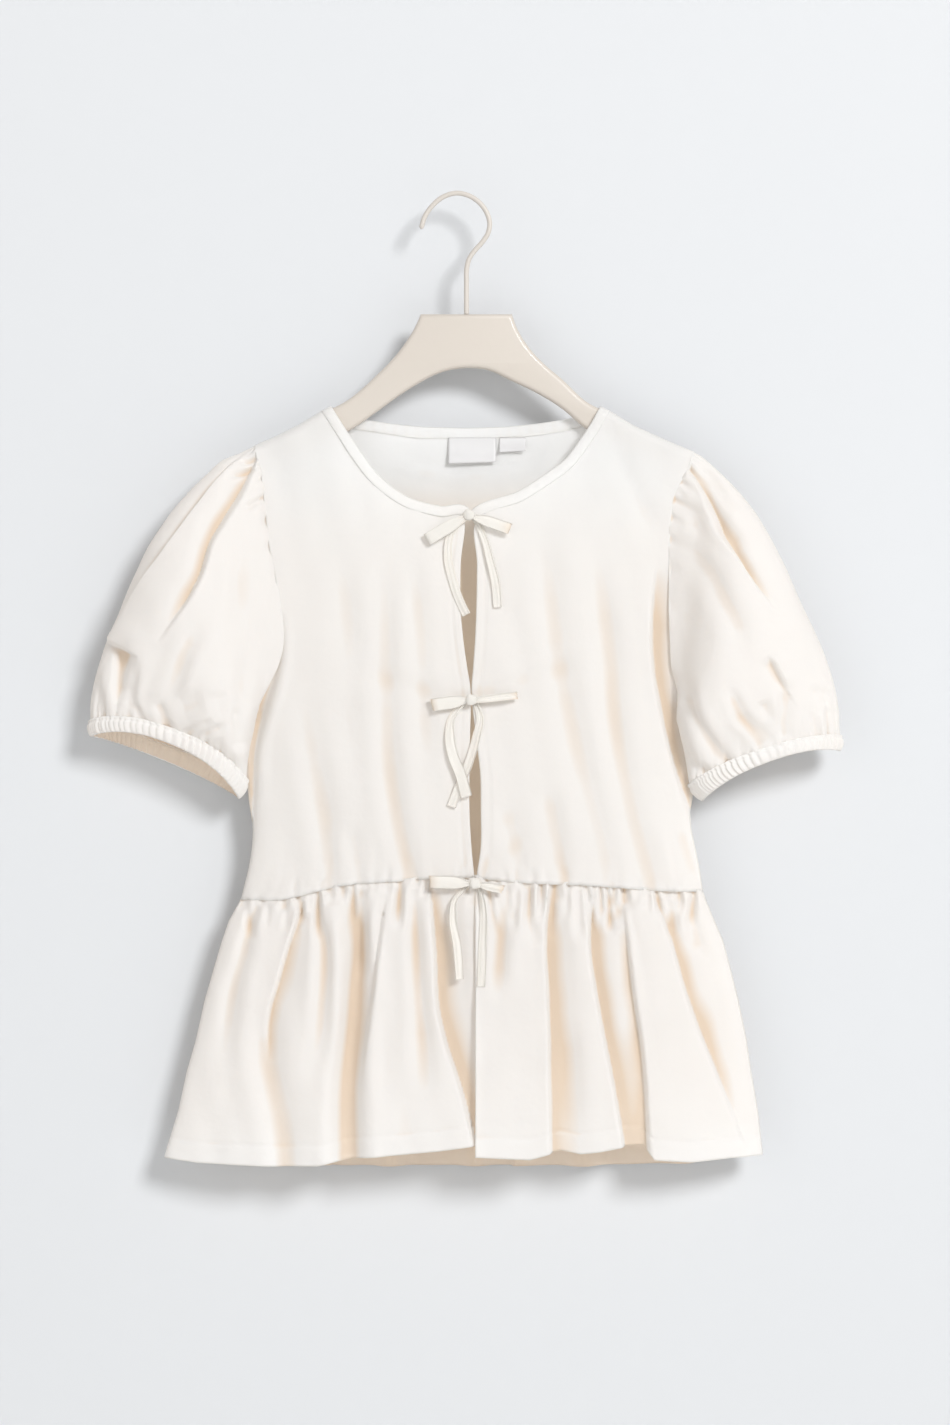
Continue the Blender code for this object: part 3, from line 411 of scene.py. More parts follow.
def plain_finish(name, colour, roughness, sheen=0.0):
    """A material with its shader, ready for bumps."""
    material = bpy.data.materials.new(name)
    material.use_nodes = True
    shader = material.node_tree.nodes["Principled BSDF"]
    shader.inputs["Base Color"].default_value = (*colour, 1)
    shader.inputs["Roughness"].default_value = roughness
    shader.inputs["Sheen Weight"].default_value = sheen
    return material, material.node_tree.nodes, material.node_tree.links, shader


def weave_bump(nodes, links, thread, distance):
    """Warp and weft as two crossing waves on the sheet's own threads."""
    place = nodes.new("ShaderNodeUVMap")
    place.uv_map = "thread"
    waves = []
    for direction in ("X", "Y"):
        wave = nodes.new("ShaderNodeTexWave")
        wave.bands_direction = direction
        wave.inputs["Scale"].default_value = 2 * math.pi / (BAND_TURN * thread)
        wave.inputs["Distortion"].default_value = 0.6
        wave.inputs["Detail"].default_value = 1.0
        links.new(place.outputs["UV"], wave.inputs["Vector"])
        waves.append(wave)
    both = nodes.new("ShaderNodeMath")
    both.operation = "ADD"
    for wave, slot in zip(waves, both.inputs):
        links.new(wave.outputs["Fac"], slot)
    bump = nodes.new("ShaderNodeBump")
    bump.inputs["Strength"].default_value = 0.25
    bump.inputs["Distance"].default_value = distance
    links.new(both.outputs["Value"], bump.inputs["Height"])
    return bump


def noise_bump(nodes, links, scale, distance, under=None):
    """Slow unevenness in the piece's own coordinates, laid over another bump."""
    place = nodes.new("ShaderNodeTexCoord")
    noise = nodes.new("ShaderNodeTexNoise")
    noise.inputs["Scale"].default_value = scale
    noise.inputs["Detail"].default_value = 3.0
    bump = nodes.new("ShaderNodeBump")
    bump.inputs["Strength"].default_value = 0.5
    bump.inputs["Distance"].default_value = distance
    links.new(place.outputs["Object"], noise.inputs["Vector"])
    links.new(noise.outputs["Fac"], bump.inputs["Height"])
    if under:
        links.new(under.outputs["Normal"], bump.inputs["Normal"])
    return bump


def corner_value(nodes, name):
    """A number that each corner of the cloth carries."""
    value = nodes.new("ShaderNodeAttribute")
    value.attribute_name = name
    return value.outputs["Fac"]


def mixed_colour(nodes, links, share, second):
    """A mix whose second colour is fixed, and whose share of it comes from another node."""
    mix = nodes.new("ShaderNodeMix")
    mix.data_type = "RGBA"
    mix.inputs["B"].default_value = (*second, 1)
    links.new(share, mix.inputs["Factor"])
    return mix


def mixed_shader(nodes, links, first, second):
    """Two shaders mixed into the material's surface."""
    mix = nodes.new("ShaderNodeMixShader")
    links.new(first.outputs["BSDF"], mix.inputs[1])
    links.new(second.outputs["BSDF"], mix.inputs[2])
    links.new(mix.outputs["Shader"], nodes["Material Output"].inputs["Surface"])
    return mix


def cotton_cloth(name, colour):
    """Off-white cotton with warm painted shade in its hollows and on the inside of its tubes."""
    material, nodes, links, shader = plain_finish(name, colour, 0.88, sheen=0.25)
    shader.inputs["Sheen Roughness"].default_value = 0.6
    shader.inputs["Specular IOR Level"].default_value = 0.2
    threads = weave_bump(nodes, links, THREAD, THREAD_DEPTH)
    crumple = noise_bump(nodes, links, CRUMPLES, CRUMPLE_DEPTH, threads)
    links.new(crumple.outputs["Normal"], shader.inputs["Normal"])
    # Painted shade: a warm tan that comes in with the depth of a hollow, which each corner carries
    share = nodes.new("ShaderNodeMapRange")
    share.inputs["From Min"].default_value = HOLLOW_FROM
    share.inputs["From Max"].default_value = HOLLOW_TO
    links.new(corner_value(nodes, "sunk"), share.inputs["Value"])
    hollow_shade_colour = mixed_colour(nodes, links, share.outputs["Result"], HOLLOW_PAINTED_SHADE)
    hollow_shade_colour.inputs["A"].default_value = (*colour, 1)
    # Painted shade on the faces seen from inside, by the share that each corner carries
    turned = nodes.new("ShaderNodeNewGeometry")
    inside_shade = nodes.new("ShaderNodeMath")
    inside_shade.operation = "MULTIPLY"
    links.new(turned.outputs["Backfacing"], inside_shade.inputs[0])
    links.new(corner_value(nodes, "inside_shade"), inside_shade.inputs[1])
    inside_shade_colour = mixed_colour(nodes, links, inside_shade.outputs["Value"], INSIDE_PAINTED_SHADE)
    links.new(hollow_shade_colour.outputs["Result"], inside_shade_colour.inputs["A"])
    links.new(inside_shade_colour.outputs["Result"], shader.inputs["Base Color"])
    glow = nodes.new("ShaderNodeBsdfTranslucent")
    glow.inputs["Color"].default_value = (*COTTON_GLOW, 1)
    links.new(crumple.outputs["Normal"], glow.inputs["Normal"])
    thin = mixed_shader(nodes, links, shader, glow)
    thin.inputs["Fac"].default_value = THINNESS
    return material


def smooth_finish(name, colour, roughness, scale, depth, settings):
    """A finish with a fine noise of this scale and depth, and settings of its shader by name."""
    material, nodes, links, shader = plain_finish(name, colour, roughness)
    for setting, value in settings.items():
        shader.inputs[setting].default_value = value
    bump = noise_bump(nodes, links, scale, depth)
    links.new(bump.outputs["Normal"], shader.inputs["Normal"])
    return material


cotton = cotton_cloth("cream cotton", COTTON)
tie_cotton = cotton_cloth("cream cotton ties", COTTON_TIES)
satin = smooth_finish("white satin tape", (0.66, 0.65, 0.65), 0.42, 160, 0.0002, {"Anisotropic": 0.4})
lacquer = smooth_finish("beige lacquer", (0.605, 0.55, 0.49), 0.42, 240, 0.0001, {"Coat Weight": 0.15})
wire_paint = smooth_finish("beige painted wire", (0.60, 0.555, 0.505), 0.38, 500, 0.00005, {})
finishes = (cotton, tie_cotton, satin, lacquer, wire_paint)
print("finishes:", ", ".join(material.name for material in finishes))


def onto_frame(piece, nodes):
    """The piece rides on the top, and the plain solids that it stands for are hidden."""
    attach(piece, "root")
    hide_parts(*nodes)
    return piece

# %% [markdown]
# ## The two front halves
# Each front hangs from the shoulder seam, over the hanger's arm, down to the waist seam. It is cut with
# a deep neck curve and an armhole. Its rows run from side to centre edge; the first rows roll over the
# shoulder. Long soft folds fall from the bust and small puckers rise from the gathered waist seam. They
# are placed one by one, each in its own length and depth, because a simulation wouldn't put them where
# the picture has them.

# %% Front halves
WAIST = (
    (-179, -563), (-148, -563.5), (-132, -560), (-116, -556), (-100, -552), (-84, -550), (-52, -548),
    (-28, -546), (8, -545), (31, -548), (60, -550), (92, -551), (132, -554), (156, -556), (191, -557),
)
# Side x, z and centre edge x, z, from the shoulder roll down
FRONT_LEFT = (
    (-165, -214, -100, -194), (-162, -227, -88, -212), (-160, -244, -72, -232), (-158, -262, -48, -249),
    (-156, -280, -20, -257), (-152, -300, -0.5, -258.5), (-147, -330, -3, -295), (-145, -356, -3, -330),
    (-149, -375, -1, -355), (-156, -390, 2, -377), (-168, -416, 5, -398), (-174, -452, 4.5, -432),
    (-173, -480, 4, -462), (-169.5, -508, 4, -492), (-172, -534, 5.5, -520), (-179, -563, 8, -545),
)
FRONT_RIGHT = (
    (179.5, -219, 107, -188), (173, -229, 99, -200), (167, -242, 86, -217), (165, -256, 69, -230),
    (164, -272, 45, -245), (164, -300, 10, -259.5), (164, -330, 10, -295), (165, -356, 9.5, -330),
    (166, -375, 8.5, -355), (170, -392, 7, -377), (175.5, -416, 5.8, -398), (181, -452, 9, -432),
    (183, -476, 12.5, -462), (180.5, -500, 13, -492), (186, -528, 13, -520), (191, -557, 9.5, -545.5),
)
UNDERARM_Z = -416
# Folds of the fronts: route as x, z, then depth, half widths and strengths at both ends
FRONT_FOLDS = (
    (((120, -196), (140, -244), (156, -276)), 2.6, (5, 9), (0.2, 0)),
    (((100, -268), (108, -308), (116, -364), (120, -420), (128, -476), (138, -516), (146, -548)),
     3.3, (8, 9), (0, 0.8)),
    (((62, -250), (70, -340), (84, -420), (100, -480), (114, -548)), 2.1, (9, 10), (0, 0.8)),
    (((-42, -286), (-36, -360), (-29, -420), (-25, -456)), 2.1, (7, 9), (0, 0)),
    (((66, -470), (78, -545)), 2.2, (8, 6), (0, 1)),
    (((32, -484), (46, -545)), 2.0, (8, 6), (0, 1)),
    (((-64, -276), (-62, -400), (-58, -468), (-52, -508), (-42, -546)), 2.6, (10, 7), (0, 1)),
    (((-96, -270), (-90, -380), (-84, -470)), 1.6, (9, 11), (0, 0)),
    (((-149, -338), (-149, -360), (-154, -386), (-164, -416), (-171, -440), (-174, -478)),
     6.0, (4, 6), (0.2, 0.5)),
    (((-126, -400), (-112, -490), (-106, -552)), 2.1, (12, 7), (0, 1)),
    (((-92, -500), (-84, -550)), 1.6, (7, 5), (0, 1)),
    (((168, -500), (174, -524), (184, -556)), 2.6, (6, 7), (0.2, 0.8)),
    (((10, -400), (60, -384), (110, -372)), 1.2, (5, 9), (0.9, 0)),
    (((2, -402), (-50, -392), (-90, -380)), 1.2, (5, 9), (0.9, 0)),
    (((8, -547), (40, -520), (70, -505)), 1.1, (5, 8), (0.9, 0)),
)
# Lapped folds: route, the raised side, rise and width, sink and width, end strengths
FRONT_LAPS = (
    (((152, -292), (149, -330), (149, -367), (156, -412), (166, -454), (180, -497)),
     -1, 2.0, 10, 9.0, 15, (0, 0.3)),
)
TOP_ROWS = 5  # the seam's own curve fades over this many rows
FRONT_FOOT_ROWS = 6  # the waist seam's curve comes in over this many rows
WAIST_GATHERS = 15
FRONT_PUCKER = 0.8
BACK_PUCKER = 1.4
PUCKER_FADE = 16
CRUMPLE_LIFT = 8  # slow waves come in as the cloth stands off this far
# The row of stitches down each front edge: how far from it, from what height, half width and depth
STITCHED = 7.0
STITCHED_FROM = -262
STITCH_HALF = 1.3
STITCH_DIP = 0.6
PUCKERS_LEFT = short_gathers(-176, 6, 18, 17, 1.5, 2.2, 141)
PUCKERS_RIGHT = short_gathers(12, 188, 18, 17, 1.5, 2.2, 142)


def front_rows(rows, tip_x, neck_x):
    """The half's rows from the shoulder seam down, with those of the roll put before the table's."""
    tip_z = through(SHOULDER, tip_x)
    neck_z = through(SHOULDER, neck_x)
    lean = (rows[0][2] - neck_x) / (neck_z - rows[0][3])
    first = rows[0]
    edges = []
    for drop in ROLL_DROPS:
        share = drop / (tip_z - first[1])
        edges.append((tip_x + (first[0] - tip_x) * share, tip_z - drop, neck_x + lean * drop, neck_z - drop))
    return np.array(edges + list(rows), float)


def kept_off(off, depth):
    """The stand-off less this depth, and never less than SEAM_HALF."""
    return off - np.minimum(depth, off - SEAM_HALF)


def front_place(rows, tip_x, neck_x, folds=True):
    """Where a front half's point goes, from its side edge (across 0) to its centre edge (1)."""
    edges = front_rows(rows, tip_x, neck_x)
    count = len(edges)
    tip_z = through(SHOULDER, tip_x)
    neck_z = through(SHOULDER, neck_x)
    seam_rows = len(ROLL_ANGLES)

    def place(across, down):
        row = down * (count - 1)
        side_x, side_z, centre_x, centre_z = smooth_through(np.arange(count), edges, row).T
        x = side_x + (centre_x - side_x) * across
        z = side_z + (centre_z - side_z) * across
        top_x = tip_x + (neck_x - tip_x) * across
        top_shape = 1 - ease((row - seam_rows + 1) / TOP_ROWS)
        z = z + top_shape * (through(SHOULDER, top_x) - (tip_z + (neck_z - tip_z) * across))
        waist_x = edges[-1][0] + (edges[-1][2] - edges[-1][0]) * across
        straight = edges[-1][1] + (edges[-1][3] - edges[-1][1]) * across
        waist_z = through(WAIST, waist_x)
        z = z + ease((row - count + 1 + FRONT_FOOT_ROWS) / FRONT_FOOT_ROWS) * (waist_z - straight)
        off = stand_off(x, z, 3)
        if folds:
            hang = ease((through(SHOULDER, x) - z - ROLL) / ROLL_FADE)
            above = np.maximum(z - waist_z, 0)
            puckers = gathers(across, WAIST_GATHERS, seed=3) * FRONT_PUCKER * np.exp(-above / PUCKER_FADE)
            puckers += press(x, -above, PUCKERS_LEFT + PUCKERS_RIGHT)
            rolled = undulate(x, z, 0.55, seed=11) * ease((off - 1) / CRUMPLE_LIFT)
            stitched = STITCH_DIP * np.exp(-(((np.abs(centre_x - x) - STITCHED) / STITCH_HALF) ** 2))
            stitched *= ease((STITCHED_FROM - z) / 6)
            long_folds = (press(x, z, FRONT_FOLDS) + lap(x, z, FRONT_LAPS)) * hang
            off = kept_off(off, stitched + long_folds + puckers + rolled)
        return np.stack([x, -off, z], axis=1)

    return place


# The shoulder seam of each half runs from its tip's x to its neck's x
SEAM_LEFT = (-168, -114)
SEAM_RIGHT = (184, 116)
left_front = front_place(FRONT_LEFT, *SEAM_LEFT)
right_front = front_place(FRONT_RIGHT, *SEAM_RIGHT)
for name, place in (("front_left", left_front), ("front_right", right_front)):
    piece = cloth_sheet(name + "_cloth", 150, 110, place, (0.20, 0.38), cotton)
    onto_frame(piece, [name])

# %% [markdown]
# ## The back
# The back is one piece, gathered like the fronts at the waist. It rolls over the shoulder to meet the
# fronts at the seam, and its neck edge is high. Nothing of its outside shows in the picture, so it has
# the same kind of soft folds as the fronts.

# %% Back
BACK_NECK = (
    (-113, -172.6), (-111.5, -175), (-109.5, -178.3), (-100, -182.5), (-80, -187), (-60, -190), (-35, -192.5),
    (0, -193.5), (35, -192.5), (60, -190), (80, -187), (102, -182.5), (111.5, -178.3), (113.5, -175),
    (115, -172.6),
)
BACK_WAIST = ((-179, -563), (-100, -558), (0, -556), (100, -555.5), (191, -557))
# Left x, z, right x, z, and how much of the top line's shape is left
BACK = (
    (-165, -218, 180, -221, 0.85), (-163, -236, 176, -238, 0.65), (-161, -262, 173, -262, 0.3),
    (-159, -295, 170, -295, 0), (-158, -350, 167, -350, 0), (-161, -388, 167.5, -388, 0),
    (-166, -416, 172.5, -416, 0), (-173, -452, 177.5, -452, 0), (-168.5, -508, 182, -508, 0),
    (-172, -536, 187.5, -534, 0), (-179, -563, 191, -557, 0),
)
BACK_TIPS = (SEAM_LEFT[0], SEAM_RIGHT[0])
BACK_FOOT_ROWS = 4
LIGHT_TO = -218  # the back's inside has no painted shade down to here, and its painted warm shade comes in over the fade below
LIGHT_FADE = 75
BACK_FOLDS = (
    (((-110, -300), (-118, -420), (-128, -556)), 3.0, (10, 8), (0, 1)),
    (((-60, -330), (-54, -450), (-46, -556)), 2.2, (10, 7), (0, 1)),
    (((10, -360), (4, -460), (12, -556)), 2.4, (10, 7), (0, 1)),
    (((64, -320), (72, -440), (70, -556)), 2.6, (9, 7), (0, 1)),
    (((118, -290), (128, -420), (140, -556)), 3.0, (10, 8), (0, 1)),
    (((-150, -330), (-156, -400), (-164, -470)), 2.6, (7, 9), (0.3, 0)),
    (((156, -330), (160, -400), (168, -480)), 2.6, (7, 9), (0.3, 0)),
    (((-80, -205), (-30, -222), (30, -222), (80, -205)), 1.0, (5, 5), (0, 0)),
)


def painted_shade_behind(z):
    """Share of painted warm shade on the back's inside: none at the neck, which is open to the light, and all
    of it further down.
    """
    return ease((LIGHT_TO - z) / LIGHT_FADE)


def back_place(across, down):
    """Where a point of the back goes, from the left side (across 0) to the right side (1)."""
    left_tip, right_tip = BACK_TIPS
    top_line = sorted(SHOULDER[:4] + BACK_NECK + SHOULDER[5:])
    left_z = through(SHOULDER, left_tip)
    right_z = through(SHOULDER, right_tip)
    first = BACK[0]
    edges = []
    for drop in ROLL_DROPS:
        left_x = left_tip + (first[0] - left_tip) * drop / (left_z - first[1])
        right_x = right_tip + (first[2] - right_tip) * drop / (right_z - first[3])
        edges.append((left_x, left_z - drop, right_x, right_z - drop, 1.0))
    edges = np.array(edges + list(BACK), float)
    row = down * (len(edges) - 1)
    left_x, left_row_z, right_x, right_row_z, top_shape = smooth_through(np.arange(len(edges)), edges, row).T
    column_x = left_tip + (right_tip - left_tip) * across
    x = left_x + (right_x - left_x) * across
    straight_z = left_row_z + (right_row_z - left_row_z) * across
    top_z = through(top_line, column_x) - (left_z + (right_z - left_z) * across)
    z = straight_z + np.clip(top_shape, 0, 1) * top_z
    waist_z = BACK[-1][1] + (BACK[-1][3] - BACK[-1][1]) * across
    foot = ease((row - len(edges) + 1 + BACK_FOOT_ROWS) / BACK_FOOT_ROWS)
    z = z + foot * (through(BACK_WAIST, x) - waist_z)
    off = stand_off(x, z, 4)
    hang = ease((through(SHOULDER, x) - z - ROLL) / ROLL_FADE)
    above = np.maximum(z - through(BACK_WAIST, x), 0)
    puckers = gathers(across, 2 * WAIST_GATHERS, seed=5) * BACK_PUCKER * np.exp(-above / PUCKER_FADE)
    rolled = undulate(x, z, 0.5, seed=17) * ease((off - 1) / CRUMPLE_LIFT)
    off = kept_off(off, press(x, z, BACK_FOLDS) * hang + puckers + rolled)
    return np.stack([x, off, z], axis=1)


back = cloth_sheet("back_cloth", 130, 176, back_place, (0.40, 0.38), cotton, out=1, inside_shade=painted_shade_behind)
onto_frame(back, ["back"])

# %% [markdown]
# ## The puff sleeves
# A puff sleeve is cut much wider than its armhole. Its head is gathered into the seam, it swells over
# the upper arm, and elastic draws its foot in. Here it is a tube: one ring of points at each of nine
# heights, from the armhole's own edge to the cuff's seam, with smooth curves between them. Gathers fan
# out from the head and from the cuff, and long folds run down between them.

# %% Sleeve rings
SLEEVE_ROUND = 400
SLEEVE_ROWS = 180
TUBE_SHADE = 0.9  # how much painted shade the inside of a tube takes, from 0 to 1
PUFF_POWER = 0.85  # at 1 a sleeve's section would be an ellipse
ARMHOLE_TUCK = 1.2  # the head starts this far under the bodice's edge
# Outer x, z, inner x, z, stand-off in front and behind, set-in in front and behind
SLEEVE_LEFT = (
    (-178, -204.5, -167.4, -419, 19, 13, 13, 8),
    (-200, -218, -168.4, -425, 33, 19, 2, 2),
    (-230, -247, -169.6, -432, 42, 25, 0, 0),
    (-258, -290, -171, -439, 45, 27, 1, 0),
    (-278, -336, -172, -447, 42, 26, 4, 0),
    (-291, -372, -173, -455, 37, 24, 9, 1),
    (-298, -403, -173.4, -462, 31, 21, 15, 2),
    (-299.5, -421, -173.6, -468.5, 25, 17, 18, 3),
)
SLEEVE_RIGHT = (
    (194, -211.5, 170.6, -419, 18, 13, 3, 3),
    (213, -229, 171.8, -425, 32, 19, 0, 0),
    (236, -260, 173.2, -433, 42, 25, 0, 0),
    (257, -298, 174.8, -441, 45, 27, 0, 0),
    (275, -338, 176.2, -449, 42, 26, 2, 2),
    (290, -374, 177.6, -457, 37, 24, 5, 5),
    (298, -406, 178.8, -465, 31, 21, 8, 8),
    (301, -433, 179.8, -472, 25, 17, 10, 10),
)
CUFF_LEFT = (-298.5, -433, -181, -482.5, 25, 17, 20, 4)
CUFF_RIGHT = (300, -444.5, 191, -484, 25, 17, 12, 12)
# Lapped folds seen from the front, as for the fronts
SLEEVE_LEFT_LAPS = (
    (((-170, -201), (-196, -226), (-218, -255), (-237, -282), (-268, -324), (-280, -349)),
     1, 3.6, 18, 5.0, 10, (0.9, 0.3)),
    (((-168, -218), (-176, -237), (-189, -260), (-199, -277), (-208, -306), (-218, -325), (-229, -341),
      (-242, -360)), 1, 3.6, 16, 7.0, 10, (0.9, 0.0)),
    (((-291, -352), (-284, -357), (-276, -361), (-268, -365), (-257, -369)), 1, 2.4, 13, 4.4, 15, (0.0, 0.0)),
    (((-282, -360), (-280, -373), (-279, -391), (-278, -413)), -1, 1.6, 6, 3.0, 7, (0.0, 0.3)),
)
SLEEVE_RIGHT_LAPS = (
    (((174, -216), (179, -222), (187, -234), (195, -252), (203, -272), (216, -290), (230, -311),
      (247, -334)), -1, 3.6, 18, 8.0, 8, (0.9, 0.0)),
    (((241, -368), (248, -381), (256, -396)), 1, 2.4, 12, 4.5, 9, (0.0, 0.3)),
)
# Folds seen from the front, as for the fronts
SLEEVE_LEFT_FOLDS = (
    (((-273, -366), (-273, -384), (-274, -407)), 4.2, (8, 7), (0.7, 0.2)),
    (((-258, -372), (-264, -396), (-267, -420)), 2.2, (4, 4), (0.1, 0.8)),
    (((-208, -344), (-221, -370), (-228, -389), (-238, -410)), 3.0, (6, 6), (0, 0.3)),
    (((-187, -226), (-170, -220)), 3.6, (2.4, 2), (0.3, 1)),
    (((-179, -214), (-166, -212)), 3.0, (2.2, 2), (0.2, 1)),
    (((-174, -252), (-162, -243)), 3.0, (2.2, 2), (0.2, 1)),
    (((-180, -260), (-175, -292), (-174, -332), (-177, -396)), 2.2, (8, 9), (0, 0.6)),
    (((-292, -384), (-289, -421)), 2.6, (4, 4), (0.2, 1)),
    (((-262, -406), (-256, -423)), 2.2, (3, 3), (0.2, 1)),
    (((-229, -410), (-205, -404)), 2.2, (9, 9), (0.3, 0.3)),
    (((-244, -404), (-236, -426)), 2.4, (4, 4), (0.1, 1)),
    (((-221, -430), (-198, -420)), 2.2, (3, 3), (0.9, 0.2)),
    (((-213, -433), (-188, -424)), 2.0, (3, 3), (0.9, 0.2)),
    (((-180, -407), (-178, -437)), 3.0, (4, 5), (0.1, 0.8)),
    (((-194, -396), (-189, -421)), 1.8, (6, 6), (0.0, 0.2)),
)
SLEEVE_RIGHT_FOLDS = (
    (((187, -208), (195, -223), (204, -237), (216, -253)), 3.6, (4, 6), (0.9, 0.0)),
    (((198, -259), (212, -271), (222, -285)), 3.2, (6, 5), (0.3, 0.0)),
    (((164, -244), (180, -254), (191, -276)), 2.4, (4, 6), (0.9, 0.0)),
    (((166, -231), (177, -244)), 1.8, (2, 2.4), (1, 0.1)),
    (((169, -225), (179, -235)), 1.4, (2, 2.2), (1, 0.1)),
    (((179, -282), (193, -301), (204, -324), (216, -349), (218, -378)), 3.0, (7, 9), (0.0, 0.1)),
    (((255, -396), (252, -429)), 3.0, (5, 5), (0.5, 0.9)),
    (((208, -394), (221, -416), (240, -434)), 3.0, (4, 5), (0.1, 0.9)),
    (((212, -413), (227, -429), (234, -439)), 2.0, (4, 3), (0.1, 1)),
    (((176, -384), (180, -413), (192, -434), (209, -455)), 3.4, (5, 5), (0.1, 0.8)),
    (((173, -442), (184, -458), (198, -463)), 2.6, (4, 4), (0.3, 0.8)),
    (((235, -404), (243, -423)), 2.6, (5, 5), (0.0, 0.6)),
    (((273, -396), (294, -401)), 1.6, (4, 4), (0.2, 0.2)),
    (((276, -413), (280, -434)), 1.8, (3, 3), (0.1, 1)),
    (((289, -408), (292, -432)), 1.8, (3, 3), (0.1, 1)),
)
SLEEVE_BACK_FOLDS = (
    (((-200, -240), (-226, -290), (-250, -350), (-268, -404)), 3.6, (5, 9), (0.8, 0.4)),
    (((-178, -250), (-194, -310), (-208, -370), (-222, -420)), 3.4, (5, 9), (0.8, 0.5)),
    (((-226, -300), (-244, -344), (-262, -380)), 2.4, (8, 8), (0, 0)),
    (((196, -236), (224, -290), (250, -350), (268, -414)), 3.6, (5, 9), (0.8, 0.4)),
    (((176, -250), (196, -310), (210, -370), (226, -430)), 3.4, (5, 9), (0.8, 0.5)),
    (((226, -300), (246, -350), (260, -386)), 2.4, (8, 8), (0, 0)),
)
SLEEVE_LENGTH = 250
HEAD_GATHERS = 34
HEAD_DEPTH = 3.2
HEAD_FADE = 16
UNDERARM_SHARE = 0.25  # the gathers keep this share of their depth below the arm
# Gathers above the cuff: how many, their depth and how far up they fade
ABOVE_CUFF = ((58, 1.5, 10), (27, 2.0, 24))
EDGE_POINTS = 120


def share_along(edge, shares):
    """Points at these shares of an edge's length."""
    reached = way_along(edge)
    return np.stack([np.interp(shares * reached[-1], reached, edge[:, axis]) for axis in range(3)], axis=1)


def signed_power(value, power):
    """The power of a value's size, with the value's sign."""
    return np.sign(value) * np.abs(value) ** power


def puff_round(count):
    """Angle, reach from the upper to the lower outline and reach to the front, round a sleeve."""
    angle = np.linspace(0, 2 * math.pi, count + 1)
    return angle, signed_power(np.cos(angle), PUFF_POWER), signed_power(np.sin(angle), PUFF_POWER)


def sleeve_ring(rung, side, count):
    """Points round the sleeve at one height, from its upper outline over the front to its inner edge."""
    outer_x, outer_z, inner_x, inner_z, front, back_off, front_in, back_in = rung
    angle, upright, forward = puff_round(count)
    centre = np.array(((outer_x + inner_x) / 2, (outer_z + inner_z) / 2))
    reach = np.array(((outer_x - inner_x) / 2, (outer_z - inner_z) / 2))
    inwards = -side * np.array((reach[1], -reach[0])) / np.linalg.norm(reach)
    depth = np.where(forward > 0, front, back_off)
    set_in = np.where(forward > 0, front_in, back_in) * forward**2
    spots = centre + reach * upright[:, None] + inwards * set_in[:, None]
    return np.stack([spots[:, 0], -depth * forward, spots[:, 1]], axis=1)


def armhole_edge(place, across, table_rows, z_column):
    """The edge that a sleeve's head is sewn to, from the shoulder's tip to the underarm."""
    count = len(ROLL_ANGLES) + len(table_rows)
    under = [i for i, row in enumerate(table_rows) if row[z_column] <= UNDERARM_Z][0] + len(ROLL_ANGLES)
    down = np.linspace(0, under, EDGE_POINTS) / (count - 1)
    return place(np.full(EDGE_POINTS, float(across)), down)


def sleeve_rings(side, front_edge, back_edge, rungs):
    """Nine rings from the armhole down, each with the same count of points."""
    angle, upright, _ = puff_round(SLEEVE_ROUND)
    shares = (1 - upright) / 2
    front_half = angle <= math.pi
    first = np.where(front_half[:, None], share_along(front_edge, shares), share_along(back_edge, shares))
    first[:, 0] -= side * ARMHOLE_TUCK
    first[[0, -1]] = (front_edge[0] + back_edge[0]) / 2 - np.array((side * ARMHOLE_TUCK, 0, 0))
    return np.array([first] + [sleeve_ring(rung, side, SLEEVE_ROUND) for rung in rungs])


def sleeve_place(rings, front_laps, front_folds, seed):
    """Where a sleeve's point goes: across runs round the tube and down from the head to the cuff."""
    count = len(rings)

    def place(across, down):
        dense_down = np.unique(np.round(down, 6))
        fine = smooth_through(np.arange(count), rings.reshape(count, -1), dense_down * (count - 1))
        fine = fine.reshape(len(dense_down), -1, 3)
        row = np.searchsorted(dense_down, np.round(down, 6))
        column = np.round(across * SLEEVE_ROUND).astype(int)
        spots = fine[row, column]
        run_round = np.gradient(fine, axis=1)
        run_round[:, [0, -1]] = (fine[:, [1]] - fine[:, [-2]]) / 2
        outward = unit(np.cross(run_round, np.gradient(fine, axis=0)) + NOT_ZERO)
        middle = fine.mean(axis=1, keepdims=True)
        if ((fine - middle) * outward).sum() < 0:
            outward = -outward
        x, y, z = spots.T
        from_head = down * SLEEVE_LENGTH
        from_cuff = (1 - down) * SLEEVE_LENGTH
        upper = ease((np.cos(across * 2 * math.pi) + 0.55) / 0.8)
        head = gathers(across, HEAD_GATHERS, seed) * HEAD_DEPTH * np.exp(-from_head / HEAD_FADE)
        head *= (UNDERARM_SHARE + (1 - UNDERARM_SHARE) * upper) * ease(from_head / 3)
        cuff = np.zeros_like(down)
        for turn, (number, deep, fade) in enumerate(ABOVE_CUFF):
            cuff += gathers(across, number, seed + 1 + turn) * deep * np.exp(-from_cuff / fade)
        long_folds = (lap(x, z, front_laps) + press(x, z, front_folds)) * ease(0.05 - y / 20)
        long_folds += press(x, z, SLEEVE_BACK_FOLDS) * ease(0.05 + y / 12)
        long_folds *= ease(from_head / 4)
        rolled = undulate(x + 0.7 * y, z, 0.6, seed + 3) * ease(from_head / 20) * ease(from_cuff / 20)
        return spots - outward[row, column] * (head + cuff + long_folds + rolled)[:, None]

    return place


